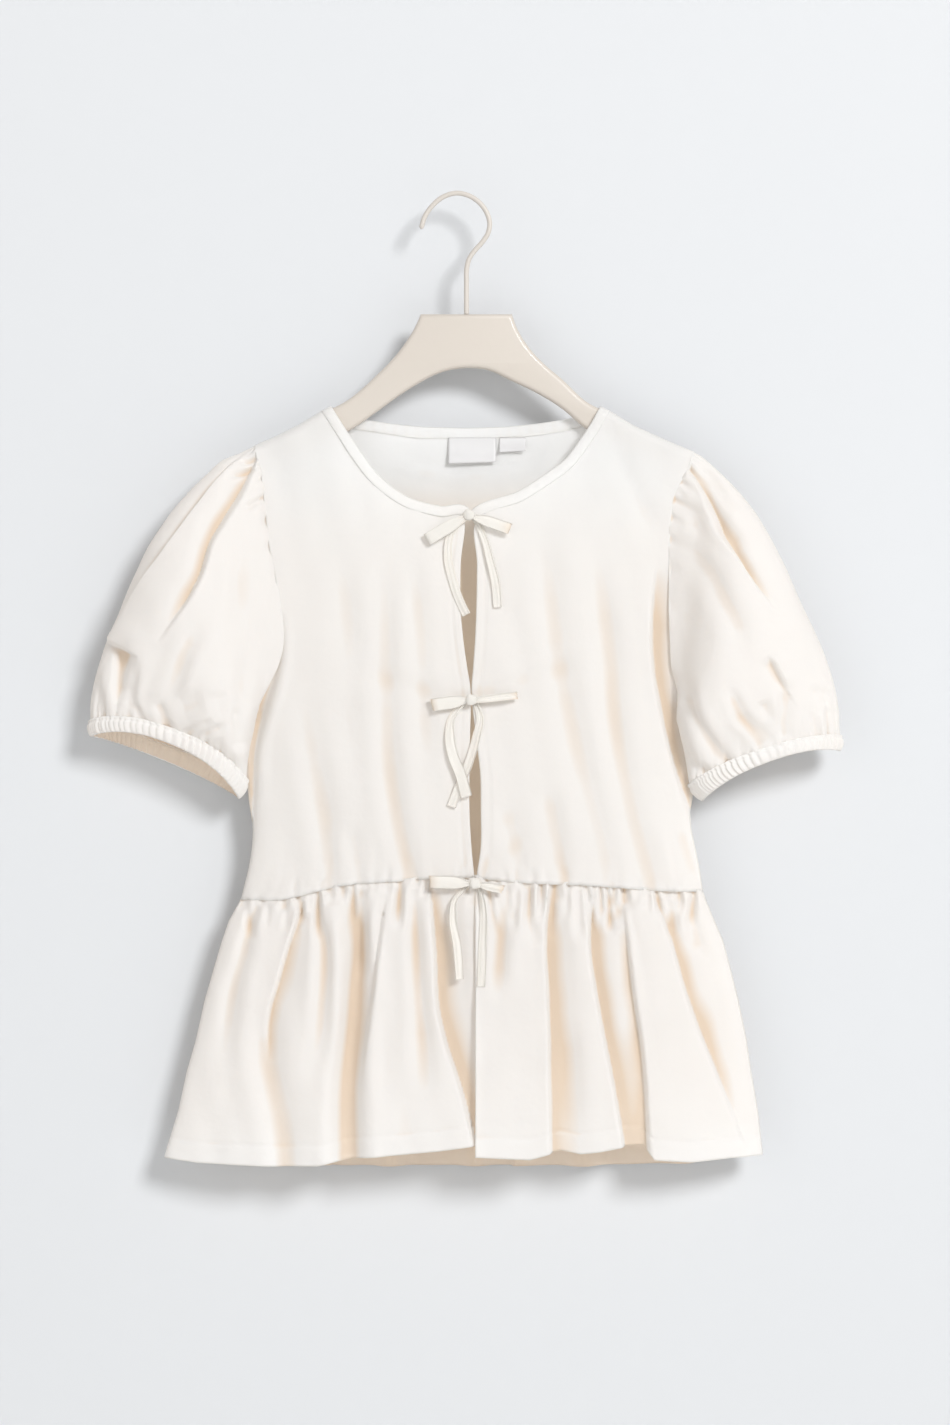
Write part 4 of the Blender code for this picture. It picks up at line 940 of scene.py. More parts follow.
left_front_plain = front_place(FRONT_LEFT, *SEAM_LEFT, folds=False)
right_front_plain = front_place(FRONT_RIGHT, *SEAM_RIGHT, folds=False)
left_rings = sleeve_rings(
    -1, armhole_edge(left_front_plain, 0, FRONT_LEFT, 1), armhole_edge(back_place, 0, BACK, 1), SLEEVE_LEFT
)
right_rings = sleeve_rings(
    1, armhole_edge(right_front_plain, 0, FRONT_RIGHT, 1), armhole_edge(back_place, 1, BACK, 3), SLEEVE_RIGHT
)
for name, rings, laps, folds, seed in (
    ("sleeve_left", left_rings, SLEEVE_LEFT_LAPS, SLEEVE_LEFT_FOLDS, 21),
    ("sleeve_right", right_rings, SLEEVE_RIGHT_LAPS, SLEEVE_RIGHT_FOLDS, 31),
):
    place = sleeve_place(rings, laps, folds, seed)
    piece = cloth_sheet(
        name + "_cloth", SLEEVE_ROWS, SLEEVE_ROUND, place, (0.36, 0.26), cotton,
        closed=True, out=0, inside_shade=TUBE_SHADE,
    )
    onto_frame(piece, [name])

# %% [markdown]
# ## The elastic cuffs
# A casing round each sleeve's foot holds a narrow elastic, so the band is ruched all the way round. It
# is a short tube that swells between the sleeve's seam and its mouth, with a row of stitches near the
# seam and fine upright gathers of its own.

# %% Cuffs
CUFF_ROUND = 720
CASING = 1.2  # its thickness
CUFF_TUCK = 1.5  # the casing starts this far up under the sleeve
CUFF_SWELL = 2.4
CUFF_LIFT = 0.6
RUCHES = 78
SLOW_RUCHES = 31
# The row of stitches: its place and half width as shares of the casing, and its depth
STITCHES_AT = 0.2
STITCHES_HALF = 0.07
CASING_DIP = 0.9


def cuff_place(side, rung, mouth_rung, seed):
    """Round the casing and down from its seam to the sleeve's mouth."""
    seam = sleeve_ring(rung, side, CUFF_ROUND)
    mouth = sleeve_ring(mouth_rung, side, CUFF_ROUND)
    seam = seam - unit(mouth - seam) * CUFF_TUCK

    def place(across, down):
        column = np.round(across * CUFF_ROUND).astype(int)
        top = seam[column]
        foot = mouth[column]
        spots = top + (foot - top) * down[:, None]
        outward = spots - (seam.mean(axis=0) + mouth.mean(axis=0)) / 2
        along = unit(foot - top)
        outward = unit(outward - along * (outward * along).sum(axis=1)[:, None])
        bow = np.sin(math.pi * np.clip(down, 0, 1)) ** 0.6
        stitched = np.exp(-(((down - STITCHES_AT) / STITCHES_HALF) ** 2)) * CASING_DIP
        ruche = gathers(across, RUCHES, seed) * (0.7 + 1.8 * bow)
        ruche += gathers(across, SLOW_RUCHES, seed + 1) * 0.8
        return spots + outward * (CUFF_SWELL * bow - ruche - stitched + CUFF_LIFT)[:, None]

    return place


for side, name, rungs, mouth_rung, seed in (
    (-1, "cuff_left", SLEEVE_LEFT, CUFF_LEFT, 41), (1, "cuff_right", SLEEVE_RIGHT, CUFF_RIGHT, 43),
):
    place = cuff_place(side, rungs[-1], mouth_rung, seed)
    piece = cloth_sheet(
        name + "_cloth", 16, CUFF_ROUND, place, (0.36, 0.012), cotton, CASING,
        closed=True, out=0, inside_shade=TUBE_SHADE,
    )
    onto_frame(piece, [name])

# %% [markdown]
# ## The peplum
# The peplum is a long straight strip gathered to the waist seam, open at the centre front. It falls in
# fluted folds: deep valleys that keep their depth down to the hem, and shallow ones that fade. Fine
# gathers sit close under the seam. The hem is turned up and stitched, so it is a little stiffer.

# %% Peplum panels
PEPLUM_EDGE_LEFT = 9.5
PEPLUM_EDGE_RIGHT = 8.8
FRONT_OVERLAP = 1.6  # the right front edge lies this far over the left one
HEM_LEFT = (
    (-240, -769), (-212, -772), (-180, -773), (-148, -774), (-116, -773), (-104, -770), (-85, -767),
    (-52, -764), (-20, -761), (8, -757),
)
HEM_RIGHT = (
    (10, -766), (52, -768), (66, -764), (76, -761), (92, -764), (108, -762), (128, -758), (143, -758),
    (151, -769), (180, -771), (212, -768), (239, -767),
)
HEM_BACK = ((-240, -769), (-180, -776), (-100, -779), (0, -779), (100, -779), (180, -776), (239, -767))
PEPLUM_LEFT_FOLDS = (
    (((-170, -568), (-174, -596), (-186, -644), (-190, -700)), 3.6, (5, 8), (1, 0)),
    (((-162, -644), (-156, -692), (-148, -724), (-141, -773)), 5.0, (9, 11), (0, 0.8)),
    (((-119, -560), (-112, -596), (-112, -652), (-112, -708)), 4.6, (4, 8), (1, 0)),
    (((-89, -561), (-86, -596), (-88, -646), (-92, -700), (-92, -764)), 13.0, (7, 10), (0.7, 1)),
    (((-80, -562), (-83, -628)), 5.0, (4, 5), (1, 0)),
    (((-40, -558), (-37, -628), (-28, -716)), 4.6, (4, 8), (1, 0)),
    (((-53, -558), (-52, -588)), 3.0, (3, 4), (1, 0)),
)
PEPLUM_RIGHT_FOLDS = (
    (((32, -556), (26, -644)), 4.0, (4, 7), (1, 0)),
    (((51, -554), (56, -600)), 4.0, (3, 6), (1, 0)),
    (((90, -554), (92, -596)), 4.0, (3, 5), (1, 0)),
    (((118, -556), (117, -588)), 4.0, (3, 5), (1, 0)),
    (((81, -652), (84, -708), (88, -764)), 3.0, (8, 9), (0, 0.6)),
    (((167, -568), (164, -593)), 3.4, (3, 4), (1, 0)),
    (((180, -568), (188, -612)), 3.0, (4, 6), (1, 0)),
)
# Lapped folds as on the sleeves: the flute on one side stands over the valley on the other
PEPLUM_LEFT_LAPS = (
    (((-27, -566), (-24, -604), (-21, -652), (-15, -677), (-6, -704), (8, -760)),
     -1, 2.5, 16, 11.0, 27, (0.9, 0.8)),
    (((-130, -568), (-140, -597), (-149, -628), (-156, -653), (-157, -692)),
     -1, 2.0, 10, 6.0, 12, (0.9, 0.0)),
    (((-64, -576), (-69, -616), (-76, -664), (-82, -712)), 1, 1.8, 12, 5.5, 12, (0.8, 0.0)),
)
PEPLUM_RIGHT_LAPS = (
    (((66, -564), (64, -593), (66, -641), (67, -692), (68, -765)), -1, 2.5, 14, 9.0, 20, (0.9, 0.9)),
    (((101, -564), (99, -593), (106, -646), (118, -710), (127, -765)), -1, 3.0, 14, 12.0, 22, (0.9, 0.9)),
    (((149, -558), (163, -593), (176, -638), (200, -701), (216, -740)), -1, 2.0, 14, 8.0, 19, (0.9, 0.3)),
    (((128, -568), (134, -626), (143, -692), (147, -768)), 1, 2.2, 12, 6.0, 11, (0.5, 1.0)),
)
PEPLUM_BACK_LAPS = (
    (((-96, -560), (-98, -640), (-104, -720), (-108, -776)), 1, 2.0, 14, 8.0, 15, (0.9, 0.8)),
    (((34, -560), (32, -640), (34, -720), (38, -776)), -1, 2.0, 14, 9.0, 16, (0.9, 0.8)),
)
PEPLUM_BACK_FOLDS = (
    (((-150, -566), (-166, -660), (-178, -770)), 6, (6, 10), (1, 0.6)),
    (((-118, -562), (-124, -660), (-132, -776)), 9, (5, 11), (0.8, 1)),
    (((-84, -562), (-86, -640), (-90, -720)), 6, (5, 9), (1, 0)),
    (((-52, -560), (-54, -660), (-60, -778)), 10, (5, 10), (0.8, 1)),
    (((-18, -560), (-20, -640), (-26, -720)), 5, (5, 9), (1, 0)),
    (((14, -560), (12, -660), (8, -778)), 9, (5, 10), (0.8, 1)),
    (((46, -560), (50, -640), (50, -730)), 6, (5, 9), (1, 0)),
    (((80, -560), (86, -660), (94, -778)), 10, (5, 11), (0.8, 1)),
    (((112, -560), (120, -640), (126, -730)), 5, (5, 9), (1, 0)),
    (((146, -560), (162, -660), (178, -772)), 8, (6, 11), (0.8, 0.8)),
)
SEAM_TUCK = 2.0  # the gathered edge starts this far up behind the bodice's edge
SEAM_BEHIND = 1.7
WAIST_AT = -560.0  # the panels' ends are taken at these heights
HEM_AT = -770.0
SHORT_SHARE = 2.3  # short gathers for each fine one
WAIST_SHARE = 0.25  # the flutes have this share of their depth at the seam, and all of it lower down
OPEN_BY = 45
SLOW_SHARE = 0.47
HEM = 16.0
HEM_DIP = 0.5
HEM_STITCH_HALF = 0.9


def peplum_place(ends, waist, hem, folds, laps, count, sign, seed):
    """Where a panel's point goes, across from its first end to its last and down from waist to hem."""
    order = np.argsort(waist[:, 0])
    waist = waist[order]
    short = short_gathers(waist[0, 0], waist[-1, 0], round(SHORT_SHARE * count), 46, 4.2, 2.3, seed)

    def place(across, down):
        top_first, top_last = ends(WAIST_AT)
        foot_first, foot_last = ends(HEM_AT)
        waist_z = np.interp(top_first + (top_last - top_first) * across, waist[:, 0], waist[:, 2]) + SEAM_TUCK
        hem_z = through(hem, foot_first + (foot_last - foot_first) * across)
        z = waist_z + (hem_z - waist_z) * down
        first, last = ends(z)
        x = first + (last - first) * across
        below = waist_z - z
        off = stand_off(x, z, 3 if sign < 0 else 4)
        opened = WAIST_SHARE + (1 - WAIST_SHARE) * ease(below / OPEN_BY)
        fine = press(x, -below, short) * ease(below / 3)
        fine += gathers(across, count, seed + 3) * 1.6 * np.exp(-below / 20)
        fine += gathers(across, count * SLOW_SHARE, seed + 1) * 1.8 * np.exp(-below / 80)
        rolled = undulate(x, z, 0.7, seed + 2) * ease(below / 30)
        behind = SEAM_BEHIND * (1 - ease(below / 5))
        over_hem = z - hem_z - HEM
        stitched = HEM_DIP * (np.exp(-((over_hem / HEM_STITCH_HALF) ** 2)) - ease(-over_hem / 3))
        long_folds = (press(x, z, folds) + lap(x, z, laps)) * opened
        off = kept_off(off, long_folds + fine + rolled + behind + stitched)
        if sign < 0:
            off = off + FRONT_OVERLAP * np.exp(-np.maximum(x - PEPLUM_EDGE_RIGHT, 0) / 8) * (first > 0)
        return np.stack([x, sign * off, z], axis=1)

    return place


def left_ends(z):
    """Where the left front panel begins and ends across, at this height."""
    return -through(BODY, z, 1), np.full_like(np.asarray(z, float), PEPLUM_EDGE_LEFT)


def right_ends(z):
    """The same for the right front panel."""
    return np.full_like(np.asarray(z, float), PEPLUM_EDGE_RIGHT), through(BODY, z, 2)


def back_ends(z):
    """The same for the back panel."""
    return -through(BODY, z, 1), through(BODY, z, 2)


def bottom_edge(place):
    """The last row of a bodice piece."""
    across = np.linspace(0, 1, 200)
    return place(across, np.ones(200))


# The piece above, the panel's ends, the bodice's place, the hem, folds and laps; then the number of
# gathers, the side it faces, the seed, the columns and the width of the cut
PANELS = (
    ("front_left", left_ends, left_front_plain, HEM_LEFT, PEPLUM_LEFT_FOLDS, PEPLUM_LEFT_LAPS,
     15, -1, 51, 170, 0.31),
    ("front_right", right_ends, right_front_plain, HEM_RIGHT, PEPLUM_RIGHT_FOLDS, PEPLUM_RIGHT_LAPS,
     15, -1, 61, 170, 0.31),
    ("back", back_ends, back_place, HEM_BACK, PEPLUM_BACK_FOLDS, PEPLUM_BACK_LAPS, 30, 1, 71, 200, 0.62),
)
for above, ends, above_place, hem, folds, laps, count, sign, seed, columns, width in PANELS:
    name = "peplum_" + above
    flat = (width, 0.215)
    place = peplum_place(ends, bottom_edge(above_place), hem, folds, laps, count, sign, seed)
    piece = cloth_sheet(name + "_cloth", 120, columns, place, flat, cotton, out=sign, inside_shade=TUBE_SHADE)
    onto_frame(piece, [name])

# %% [markdown]
# ## The neck binding
# A narrow strip of the same cotton covers the raw neck edge. It runs from the left front corner up over
# the shoulder, round the back neck and down to the right front corner, and it crosses the shoulders
# lying flat on the hanger. It is a low crowned tape, a little uneven where it was eased round the curve.

# %% Binding
BINDING = 0.8  # its thickness
BINDING_WIDTH = 8.0
BINDING_GAP = -0.6  # the binding starts this far outside the raw edge
BINDING_COLUMNS = 420
NECK_HOLE = (0, -100)
SHOULDER_RUN = (0.896, 0.444)  # the way along a shoulder, towards the neck
NECK_ROWS = 6  # the front tables' rows that follow the neck
FRONT_POINTS = 140
BACK_POINTS = 180


def into_neck_hole(edge):
    """Directions across the binding, in x and z, along one stretch of the neck edge."""
    run = unit(np.gradient(edge[:, [0, 2]], axis=0))
    square_to_edge = np.stack([-run[:, 1], run[:, 0]], axis=1)
    towards = np.array(NECK_HOLE) - edge[:, [0, 2]]
    square_to_edge *= np.sign((square_to_edge * towards).sum(axis=1))[:, None]
    share = np.clip((through(SHOULDER, edge[:, 0]) - edge[:, 2]) / ROLL, 0, 1)[:, None]
    over = np.stack([-np.sign(edge[:, 0]) * SHOULDER_RUN[0], np.full(len(edge), SHOULDER_RUN[1])], axis=1)
    return unit(square_to_edge * share + over * (1 - share))


def front_neck(place, table):
    """A front's neck edge, from the shoulder's seam to its corner."""
    count = len(ROLL_ANGLES) + len(table)
    last = len(ROLL_ANGLES) + NECK_ROWS - 1
    return place(np.ones(FRONT_POINTS), np.linspace(0, last, FRONT_POINTS) / (count - 1))


left_neck = front_neck(left_front_plain, FRONT_LEFT)
right_neck = front_neck(right_front_plain, FRONT_RIGHT)
neck_x = np.linspace(SHOULDER[3][0], SHOULDER[5][0], BACK_POINTS)
back_neck = back_place((neck_x - BACK_TIPS[0]) / (BACK_TIPS[1] - BACK_TIPS[0]), np.zeros(BACK_POINTS))
binding_edge = np.concatenate([left_neck[:0:-1], back_neck, right_neck[1:]])
binding_ways = np.concatenate([
    into_neck_hole(left_neck)[:0:-1], into_neck_hole(back_neck), into_neck_hole(right_neck)[1:]
])
# -1 along the fronts, 1 along the back and 0 where they meet on the shoulders
front_side = np.full(FRONT_POINTS - 1, -1.0)
back_side = np.ones(BACK_POINTS)
back_side[[0, -1]] = 0
binding_side = np.concatenate([front_side, back_side, front_side])
reached = way_along(binding_edge)
spread = np.linspace(0, reached[-1], BINDING_COLUMNS + 1)


def along_binding(values):
    """Values of the neck edge at the binding's columns."""
    return np.stack([np.interp(spread, reached, column) for column in values.T], axis=1)


edge_points = along_binding(binding_edge)
edge_ways = unit(along_binding(binding_ways))
edge_side = along_binding(binding_side[:, None])[:, 0]


def binding_place(across, down):
    """Where a point of the binding goes, along the neck edge and down to its inner edge."""
    column = np.round(across * BINDING_COLUMNS).astype(int)
    reach = BINDING_GAP + (BINDING_WIDTH - BINDING_GAP) * down
    x = edge_points[column, 0] + edge_ways[column, 0] * reach
    z = edge_points[column, 2] + edge_ways[column, 1] * reach
    side = edge_side[column]
    off = np.where(side < 0, stand_off(x, z, 3), stand_off(x, z, 4))
    arch = np.sin(math.pi * down)
    crown = 0.3 + 0.9 * arch**0.7 + 0.25 * gathers(across, 60, seed=81) * arch
    inside = np.where(side < 0, -(off + crown), off - crown)
    return np.stack([x, np.where(np.abs(side) > 0.5, inside, side * off), z], axis=1)


binding = cloth_sheet(
    "neck_binding_cloth", 8, BINDING_COLUMNS, binding_place, (0.80, 0.0085), cotton, BINDING, out=-1
)
onto_frame(binding, ["neck_binding"])
print("binding is", round(reached[-1]), "mm long")

# %% [markdown]
# ## The ties
# Each bow is tied from two flat strips of the cloth, one sewn to each front edge. A strip starts with
# its tail's free end, runs behind the knot, out along the back of its loop and back in front. Each is a
# ribbon swept along that route: wide and nearly flat in the loop, pinched and pleated at the knot.

# %% Strips and knots
# How far each part stands out from the fronts
TAIL_OUT = 1.6
LOOP_BACK_OUT = 3.7
LOOP_FRONT_OUT = 6.8
KNOT_OUT = 7.2
KNOT_SIZE = (4.4, 2.7, 4.4)
KNOT_WIDTH = 3.4  # a strip's width inside the knot
HAIRPIN_REACH = 2.6  # the strip turns back this far from the knot's middle
LOOP_END = 0.94  # share of the loop's length where it starts to turn
STRIP = 1.3
STRIP_ROWS = 90
STRIP_COLUMNS = 10
# Knot x, z; then for each side the loop's tip x, z and width, and the tail's points as x, z, lift, width
BOWS = (
    ("tie_top", (3.6, -256.4), {
        "left": ((-30, -276.4), 10.0, ((1.2, -336, 0, 6.5), (-3.6, -326, 0, 6.5), (-10, -307, 0, 6.5),
                                       (-13.4, -289, 0, 6), (-11.5, -272, 0, 5), (-5, -262.5, 0, 3.6))),
        "right": ((36.4, -267.6), 8.5, ((26.8, -330, 0, 6.5), (25.2, -311.6, 0, 6.5), (20.4, -291.6, 0, 6),
                                        (15.6, -274, 0, 5), (10.6, -263, 0, 3.6))),
    }),
    ("tie_middle", (5.2, -403.6), {
        "left": ((-26, -407.6), 9.6, ((2, -480.4, 2.1, 8.5), (-2.8, -462.8, 2.1, 8.5), (-9, -447, 1.9, 8),
                                      (-11.4, -431.6, 1.3, 7), (-9.5, -418, 0.3, 5), (-3.2, -409.4, 0, 3.6))),
        "right": ((42, -399.6), 5.5, ((-10, -488.4, 0, 6.5), (-3.6, -471.6, 0, 6.5), (3.6, -454, 0, 6.5),
                                      (10, -432.4, 0, 6), (13, -417.6, 0, 5), (10.8, -409, 0, 3.6))),
    }),
    ("tie_waist", (8.4, -549.2), {
        "left": ((-27.6, -547.6), 9.5, ((-3.6, -625.2, 0, 6.5), (-6, -597.2, 0, 6.5), (-9.2, -575.6, 0, 6),
                                        (-7.6, -562, 0, 4.6), (-1.5, -555, 0, 3.6))),
        "right": ((30.8, -554), 7.0, ((13.2, -630.8, 0, 6.5), (14.4, -597.2, 0, 6.5), (15, -572.4, 0, 5.5),
                                      (13.4, -558.6, 0, 3.6))),
    }),
)


def strip_path(knot, tip, loop_width, tail):
    """A tie's route from its tail's end to the knot, out along the back of its loop and back in front."""
    knot = np.array(knot)
    tip = np.array(tip)
    along = unit(tip - knot)
    near = knot + along * HAIRPIN_REACH
    rows = [(x, z, TAIL_OUT + lift, width) for x, z, lift, width in tail]
    rows.append((near[0], near[1], TAIL_OUT, KNOT_WIDTH))
    bend = knot + along * (HAIRPIN_REACH - 0.9)
    rows.append((bend[0], bend[1], (TAIL_OUT + LOOP_BACK_OUT) / 2, KNOT_WIDTH))
    rows.append((near[0], near[1], LOOP_BACK_OUT, KNOT_WIDTH))
    swell = (LOOP_BACK_OUT + LOOP_FRONT_OUT) / 2
    for share in (0.35, 0.7, LOOP_END):
        spot = knot + (tip - knot) * share
        out = LOOP_BACK_OUT + 0.3 * (share == LOOP_END)
        rows.append((spot[0], spot[1], out, loop_width * min(0.55 + share, 1)))
    rows.append((tip[0], tip[1], swell + 0.2, loop_width))
    for share in (LOOP_END, 0.7, 0.4):
        spot = knot + (tip - knot) * share
        out = LOOP_FRONT_OUT + 0.4 * (share < LOOP_END)
        rows.append((spot[0], spot[1], out, loop_width * min(0.55 + share, 1)))
    start = knot + along * (KNOT_SIZE[0] * 0.6)
    rows.append((start[0], start[1], LOOP_FRONT_OUT + 0.1, KNOT_WIDTH))
    return rows


def strip_place(rows, seed):
    """Where a strip's point goes, across it and down from the tail's end to the knot, and its route."""
    placed = [(x, -float(stand_off(x, z, 3)) - out, z, width) for x, z, out, width in rows]
    route = smooth_path(placed, STRIP_ROWS + 1)
    points = route[:, :3]
    runs = unit(np.gradient(points, axis=0))
    width_way = unit(np.cross(runs[0], (0.0, -1.0, 0.0)))
    ways = []
    for run in runs:
        width_way = unit(width_way - run * np.dot(width_way, run))
        ways.append(width_way)
    ways = np.array(ways)
    depths = np.cross(runs, ways)
    draw = np.random.default_rng(seed)
    shift = draw.uniform(0, 6, 3)

    def place(across, down):
        row = np.round(down * STRIP_ROWS).astype(int)
        width = route[row, 3]
        off = across - 0.5
        pinch = np.clip((9 - width) / 5.5, 0, 1)
        pleat = 0.55 * pinch * np.cos(off * 4 * math.pi + shift[0])
        fold = 0.35 * np.sin(down * 11 + shift[1]) * off * 2
        fold += 0.3 * np.cos(off * 2 * math.pi) * np.sin(down * 17 + shift[2])
        return points[row] + ways[row] * (off * width)[:, None] + depths[row] * (pleat + fold)[:, None]

    return place, route


def knot_piece(name, spot, seed):
    """A round knot with the grooves that the strip's turns leave in it."""
    x, z = spot
    shape = bmesh.new()
    bmesh.ops.create_uvsphere(shape, u_segments=40, v_segments=24, radius=1)
    places = np.array([corner.co for corner in shape.verts])
    turn = np.arctan2(places[:, 2], places[:, 0])
    bands = np.cos(places[:, 0] * 5.2 + 0.8 * places[:, 2] + seed) * 0.05 + np.cos(turn * 3 + seed) * 0.04
    squared = np.sign(places) * np.abs(places) ** 0.85
    places = squared * (1 + bands)[:, None] * KNOT_SIZE
    places += (x + GARMENT_MIDDLE, -float(stand_off(x, z, 3)) - KNOT_OUT, z)
    for corner, spot_at in zip(shape.verts, places):
        corner.co = spot_at * MM
    return finish_sheet(name, shape, tie_cotton, 0, 0)


for index, (name, knot, strips) in enumerate(BOWS):
    onto_frame(knot_piece(name + "_knot_cloth", knot, index), [name + "_knot"])
    for side, (tip, loop_width, tail) in strips.items():
        place, route = strip_place(strip_path(knot, tip, loop_width, tail), 90 + index)
        long = float(np.linalg.norm(np.diff(route[:, :3], axis=0), axis=1).sum()) * MM
        wide = float(route[:, 3].mean()) * MM
        piece = cloth_sheet(
            name + "_" + side + "_cloth", STRIP_ROWS, STRIP_COLUMNS, place, (wide, long), tie_cotton, STRIP,
            out=0,
        )
        onto_frame(piece, [name + "_" + side])

# %% [markdown]
# ## Labels in the back neck
# A woven tape label and a small size tab hang from the back neck. Both are left bare.

# %% Labels
# Left and right x, top z and height
NECK_LABEL = (-13, 25, -193, 21)
SIZE_LABEL = (28, 49, -193.2, 11.5)
LABEL_TILT = 1.2
LABEL_LIFT = 4.0  # its foot hangs this far off the back
TAPE = 0.6
LABEL_GAP = 1.6


def label_place(spot, seed):
    """Where a label's point goes, across from its left edge and down from its seam."""
    left, right, top, height = spot

    def place(across, down):
        x = left + (right - left) * across
        z = top - height * down + LABEL_TILT * across * down
        lift = LABEL_LIFT * down**1.6 + 0.25 * np.sin(across * 5 + seed) * down
        return np.stack([x, stand_off(x, z, 4) - LABEL_GAP - lift, z], axis=1)

    return place


for name, spot in (("neck_label", NECK_LABEL), ("size_label", SIZE_LABEL)):
    size = ((spot[1] - spot[0]) * MM, spot[3] * MM)
    piece = cloth_sheet(name + "_tape", 12, 24, label_place(spot, spot[0]), size, satin, TAPE, out=-1)
    onto_frame(piece, [name])

# %% [markdown]
# ## The hanger
# The board is one flat shape with rounded edges, so its outline is filled, drawn out to its thickness and
# bevelled. The hook is a painted wire bent round a curve, with a round section.

# %% Board
BOARD_THICKNESS = 10.0
BOARD_ROUNDING = 3.6
ARM_DROP = 2.1  # the arms run this far under the shoulder line
BOARD_TOP_LEFT = ((-35, -95), (-40.5, -107), (-48.5, -119.5), (-59.5, -133), (-68, -141.5), (-97, -165.9))
BOARD_TOP_RIGHT = ((38, -95), (42, -106), (50, -119.5), (64.5, -135.5), (77, -146), (100, -166.6))
BOARD_LOW = (
    (3, -138), (-20, -142), (-36, -150), (-52, -160), (-68, -171.5), (-92, -188), (-115, -200), (-138, -209),
    (-156, -211), (-163, -205),
)
BOARD_LOW_RIGHT = (
    (177, -209), (170, -215), (150, -212), (122, -200), (98, -187), (76, -169), (56, -157), (36, -147.5),
    (20, -140),
)
ARM_TOP_X = (-160, -150, -132, -114)
ARM_TOP_X_RIGHT = (116, 134, 150, 167)
CURVE_POINTS = 40


def arm_top(across):
    """The upper line of an arm, just under the shoulder."""
    return tuple((x, float(through(SHOULDER, x)) - ARM_DROP) for x in across)


outline = np.concatenate([
    smooth_path(BOARD_TOP_RIGHT + arm_top(ARM_TOP_X_RIGHT), CURVE_POINTS),
    smooth_path(BOARD_LOW_RIGHT + BOARD_LOW, 2 * CURVE_POINTS),
    smooth_path(arm_top(ARM_TOP_X) + BOARD_TOP_LEFT[::-1], CURVE_POINTS),
])
shape = bmesh.new()
corners = [
    shape.verts.new(((x + GARMENT_MIDDLE) * MM, -BOARD_THICKNESS / 2 * MM, z * MM)) for x, z in outline
]
face = shape.faces.new(corners)
drawn = bmesh.ops.extrude_face_region(shape, geom=[face])
moved = [item for item in drawn["geom"] if isinstance(item, bmesh.types.BMVert)]
bmesh.ops.translate(shape, vec=(0, BOARD_THICKNESS * MM, 0), verts=moved)
bmesh.ops.recalc_face_normals(shape, faces=shape.faces)
rims = [edge for edge in shape.edges if abs(edge.verts[0].co.y - edge.verts[1].co.y) < MM / 10]
bmesh.ops.bevel(shape, geom=rims, offset=BOARD_ROUNDING * MM, offset_type="OFFSET", affect="EDGES",
                segments=6, profile=0.5, material=-1, clamp_overlap=True)
mesh = finished_mesh("hanger board", shape, lacquer)
mesh.shade_smooth()
mesh.set_sharp_from_angle(angle=math.radians(40))
board = add_object("hanger_board_fine", mesh)
onto_frame(board, ["hanger_board"])
print("board has", len(mesh.polygons), "faces")

# %% Hook
HOOK = (
    (-34.8, -26.8), (-31.6, -16.4), (-26, -8.4), (-17.5, -1.2), (-5.6, 2.1), (4.4, -0.4), (12.4, -6),
    (18, -14), (20.2, -22), (18.8, -30), (14.8, -36.5), (9, -43), (4, -50), (1.8, -58), (1.6, -70),
    (1.6, -94.7),
)
WIRE_RADIUS = 2.0
WIRE_SIDES = 20
WIRE_ROWS = 119
WIRE_STEP = 1.2  # about the length of one row
route = smooth_path([(x, 0, z) for x, z in HOOK], WIRE_ROWS + 1)
runs = unit(np.gradient(route, axis=0))


def wire_place(across, down):
    """Round the wire and along it from the tip to the board, with a rounded tip."""
    at = np.round(down * WIRE_ROWS).astype(int)
    angle = across * 2 * math.pi
    side = unit(np.cross(runs[at], (0.0, 1.0, 0.0)))
    from_tip = down * WIRE_ROWS * WIRE_STEP
    radius = WIRE_RADIUS * np.sqrt(1 - (1 - np.clip(from_tip / WIRE_RADIUS, 0.02, 1)) ** 2)
    turned = side * np.cos(angle)[:, None] + np.array((0, 1.0, 0)) * np.sin(angle)[:, None]
    return route[at] + turned * radius[:, None]


hook = cloth_sheet(
    "hanger_hook_fine", WIRE_ROWS, WIRE_SIDES, wire_place, (0.012, 0.2), wire_paint, 0, closed=True, out=0
)
onto_frame(hook, ["hanger_hook"])

# %% [markdown]
# ## Stage, light and camera
# The top hangs close in front of a plain pale wall, so a soft key light from the upper right in front
# leaves gentle shadows beside it. The wall is seen from its front only, so that it hides nothing when the
# top is looked at from behind. The camera stands level with the waist, three metres away.

# %% Stage, lights and camera
# All in metres, and the lens and its film in mm
CAMERA_AWAY = 3.0
CAMERA_SPOT = (0.0124, -CAMERA_AWAY, -0.4136)
LENS = 94.7
FILM = 36
WALL_Y = 0.034
FLOOR_Z = -1.35
LIT_SPOT = (0, 0, -0.4)


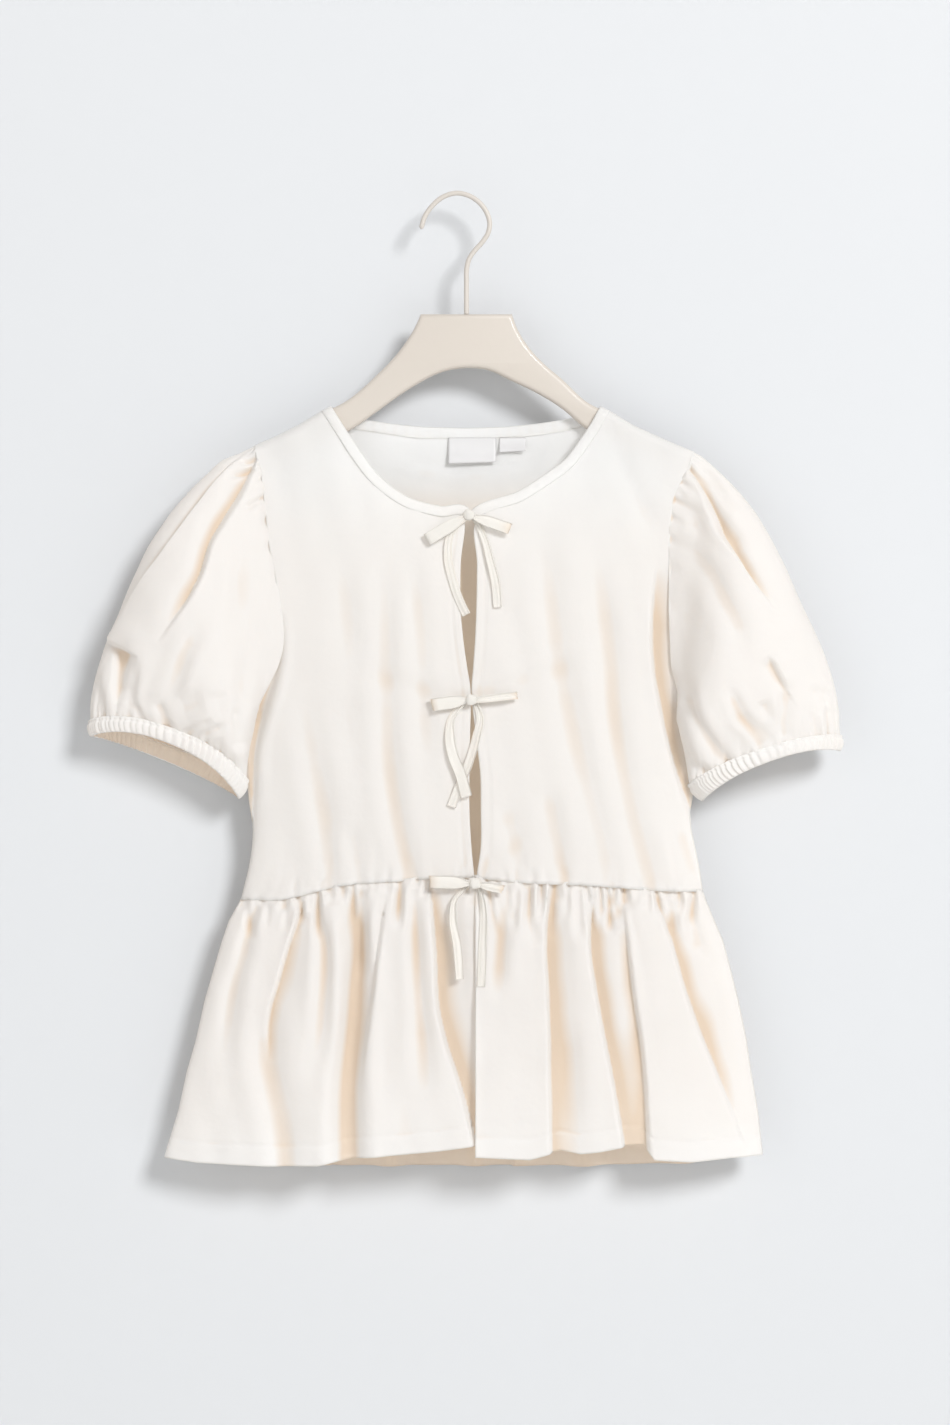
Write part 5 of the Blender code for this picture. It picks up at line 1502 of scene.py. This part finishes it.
def wall_paint(name, colour, one_sided):
    """A matt paint, clear from behind if it is one-sided."""
    material, nodes, links, shader = plain_finish(name, colour, 0.95)
    shader.inputs["Specular IOR Level"].default_value = 0.1
    if one_sided:
        back_of_wall = nodes.new("ShaderNodeNewGeometry")
        clear = nodes.new("ShaderNodeBsdfTransparent")
        mixed = mixed_shader(nodes, links, shader, clear)
        links.new(back_of_wall.outputs["Backfacing"], mixed.inputs["Fac"])
    return material


def stage_plane(name, centre, along_x, along_up, material):
    """A stage plane from its centre and its half sides as vectors."""
    shape = bmesh.new()
    bmesh.ops.create_grid(shape, x_segments=1, y_segments=1, size=1)
    for corner in shape.verts:
        corner.co = Vector(centre) + corner.co.x * Vector(along_x) + corner.co.y * Vector(along_up)
    plane = add_object(name, finished_mesh(name, shape, material))


wall = wall_paint("pale wall", (0.665, 0.675, 0.69), True)
floor = wall_paint("pale floor", (0.84, 0.84, 0.83), False)
stage_plane("wall", (0, WALL_Y, 0.4), (3.2, 0, 0), (0, 0, 1.75), wall)
stage_plane("floor", (0, -1.0, FLOOR_Z), (3.2, 0, 0), (0, 3.0, 0), floor)


def soft_light(name, spot, size, power, colour=(1, 1, 1)):
    """A round soft lamp that faces the top."""
    lamp = bpy.data.lights.new(name, "AREA")
    lamp.shape = "DISK"
    lamp.size = size
    lamp.energy = power
    lamp.color = colour
    thing = add_object(name, lamp)
    thing.location = spot
    thing.rotation_mode = "QUATERNION"
    thing.rotation_quaternion = (Vector(LIT_SPOT) - Vector(spot)).to_track_quat("-Z", "Y")


soft_light("key", (2.7, -5.1, 2.1), 1.8, 276, (0.98, 0.99, 1.0))
soft_light("fill", (-1.9, -2.4, -0.2), 2.4, 10)
soft_light("rear fill", (0.8, 2.6, 0.8), 2.0, 60)
world = bpy.data.worlds.new("pale room")
world.use_nodes = True
background = world.node_tree.nodes["Background"]
background.inputs["Color"].default_value = (1.0, 0.99, 0.975, 1)
background.inputs["Strength"].default_value = 0.50
bpy.context.scene.world = world
bpy.context.scene.view_settings.view_transform = "Standard"
lens = bpy.data.cameras.new("camera")
lens.lens = LENS
lens.sensor_width = FILM
camera = add_object("camera", lens)
camera.location = CAMERA_SPOT
camera.rotation_euler = (math.radians(90), 0, 0)
bpy.context.scene.camera = camera
print("the camera stands", CAMERA_AWAY, "m away, the wall", round(WALL_Y / MM), "mm behind the middle")
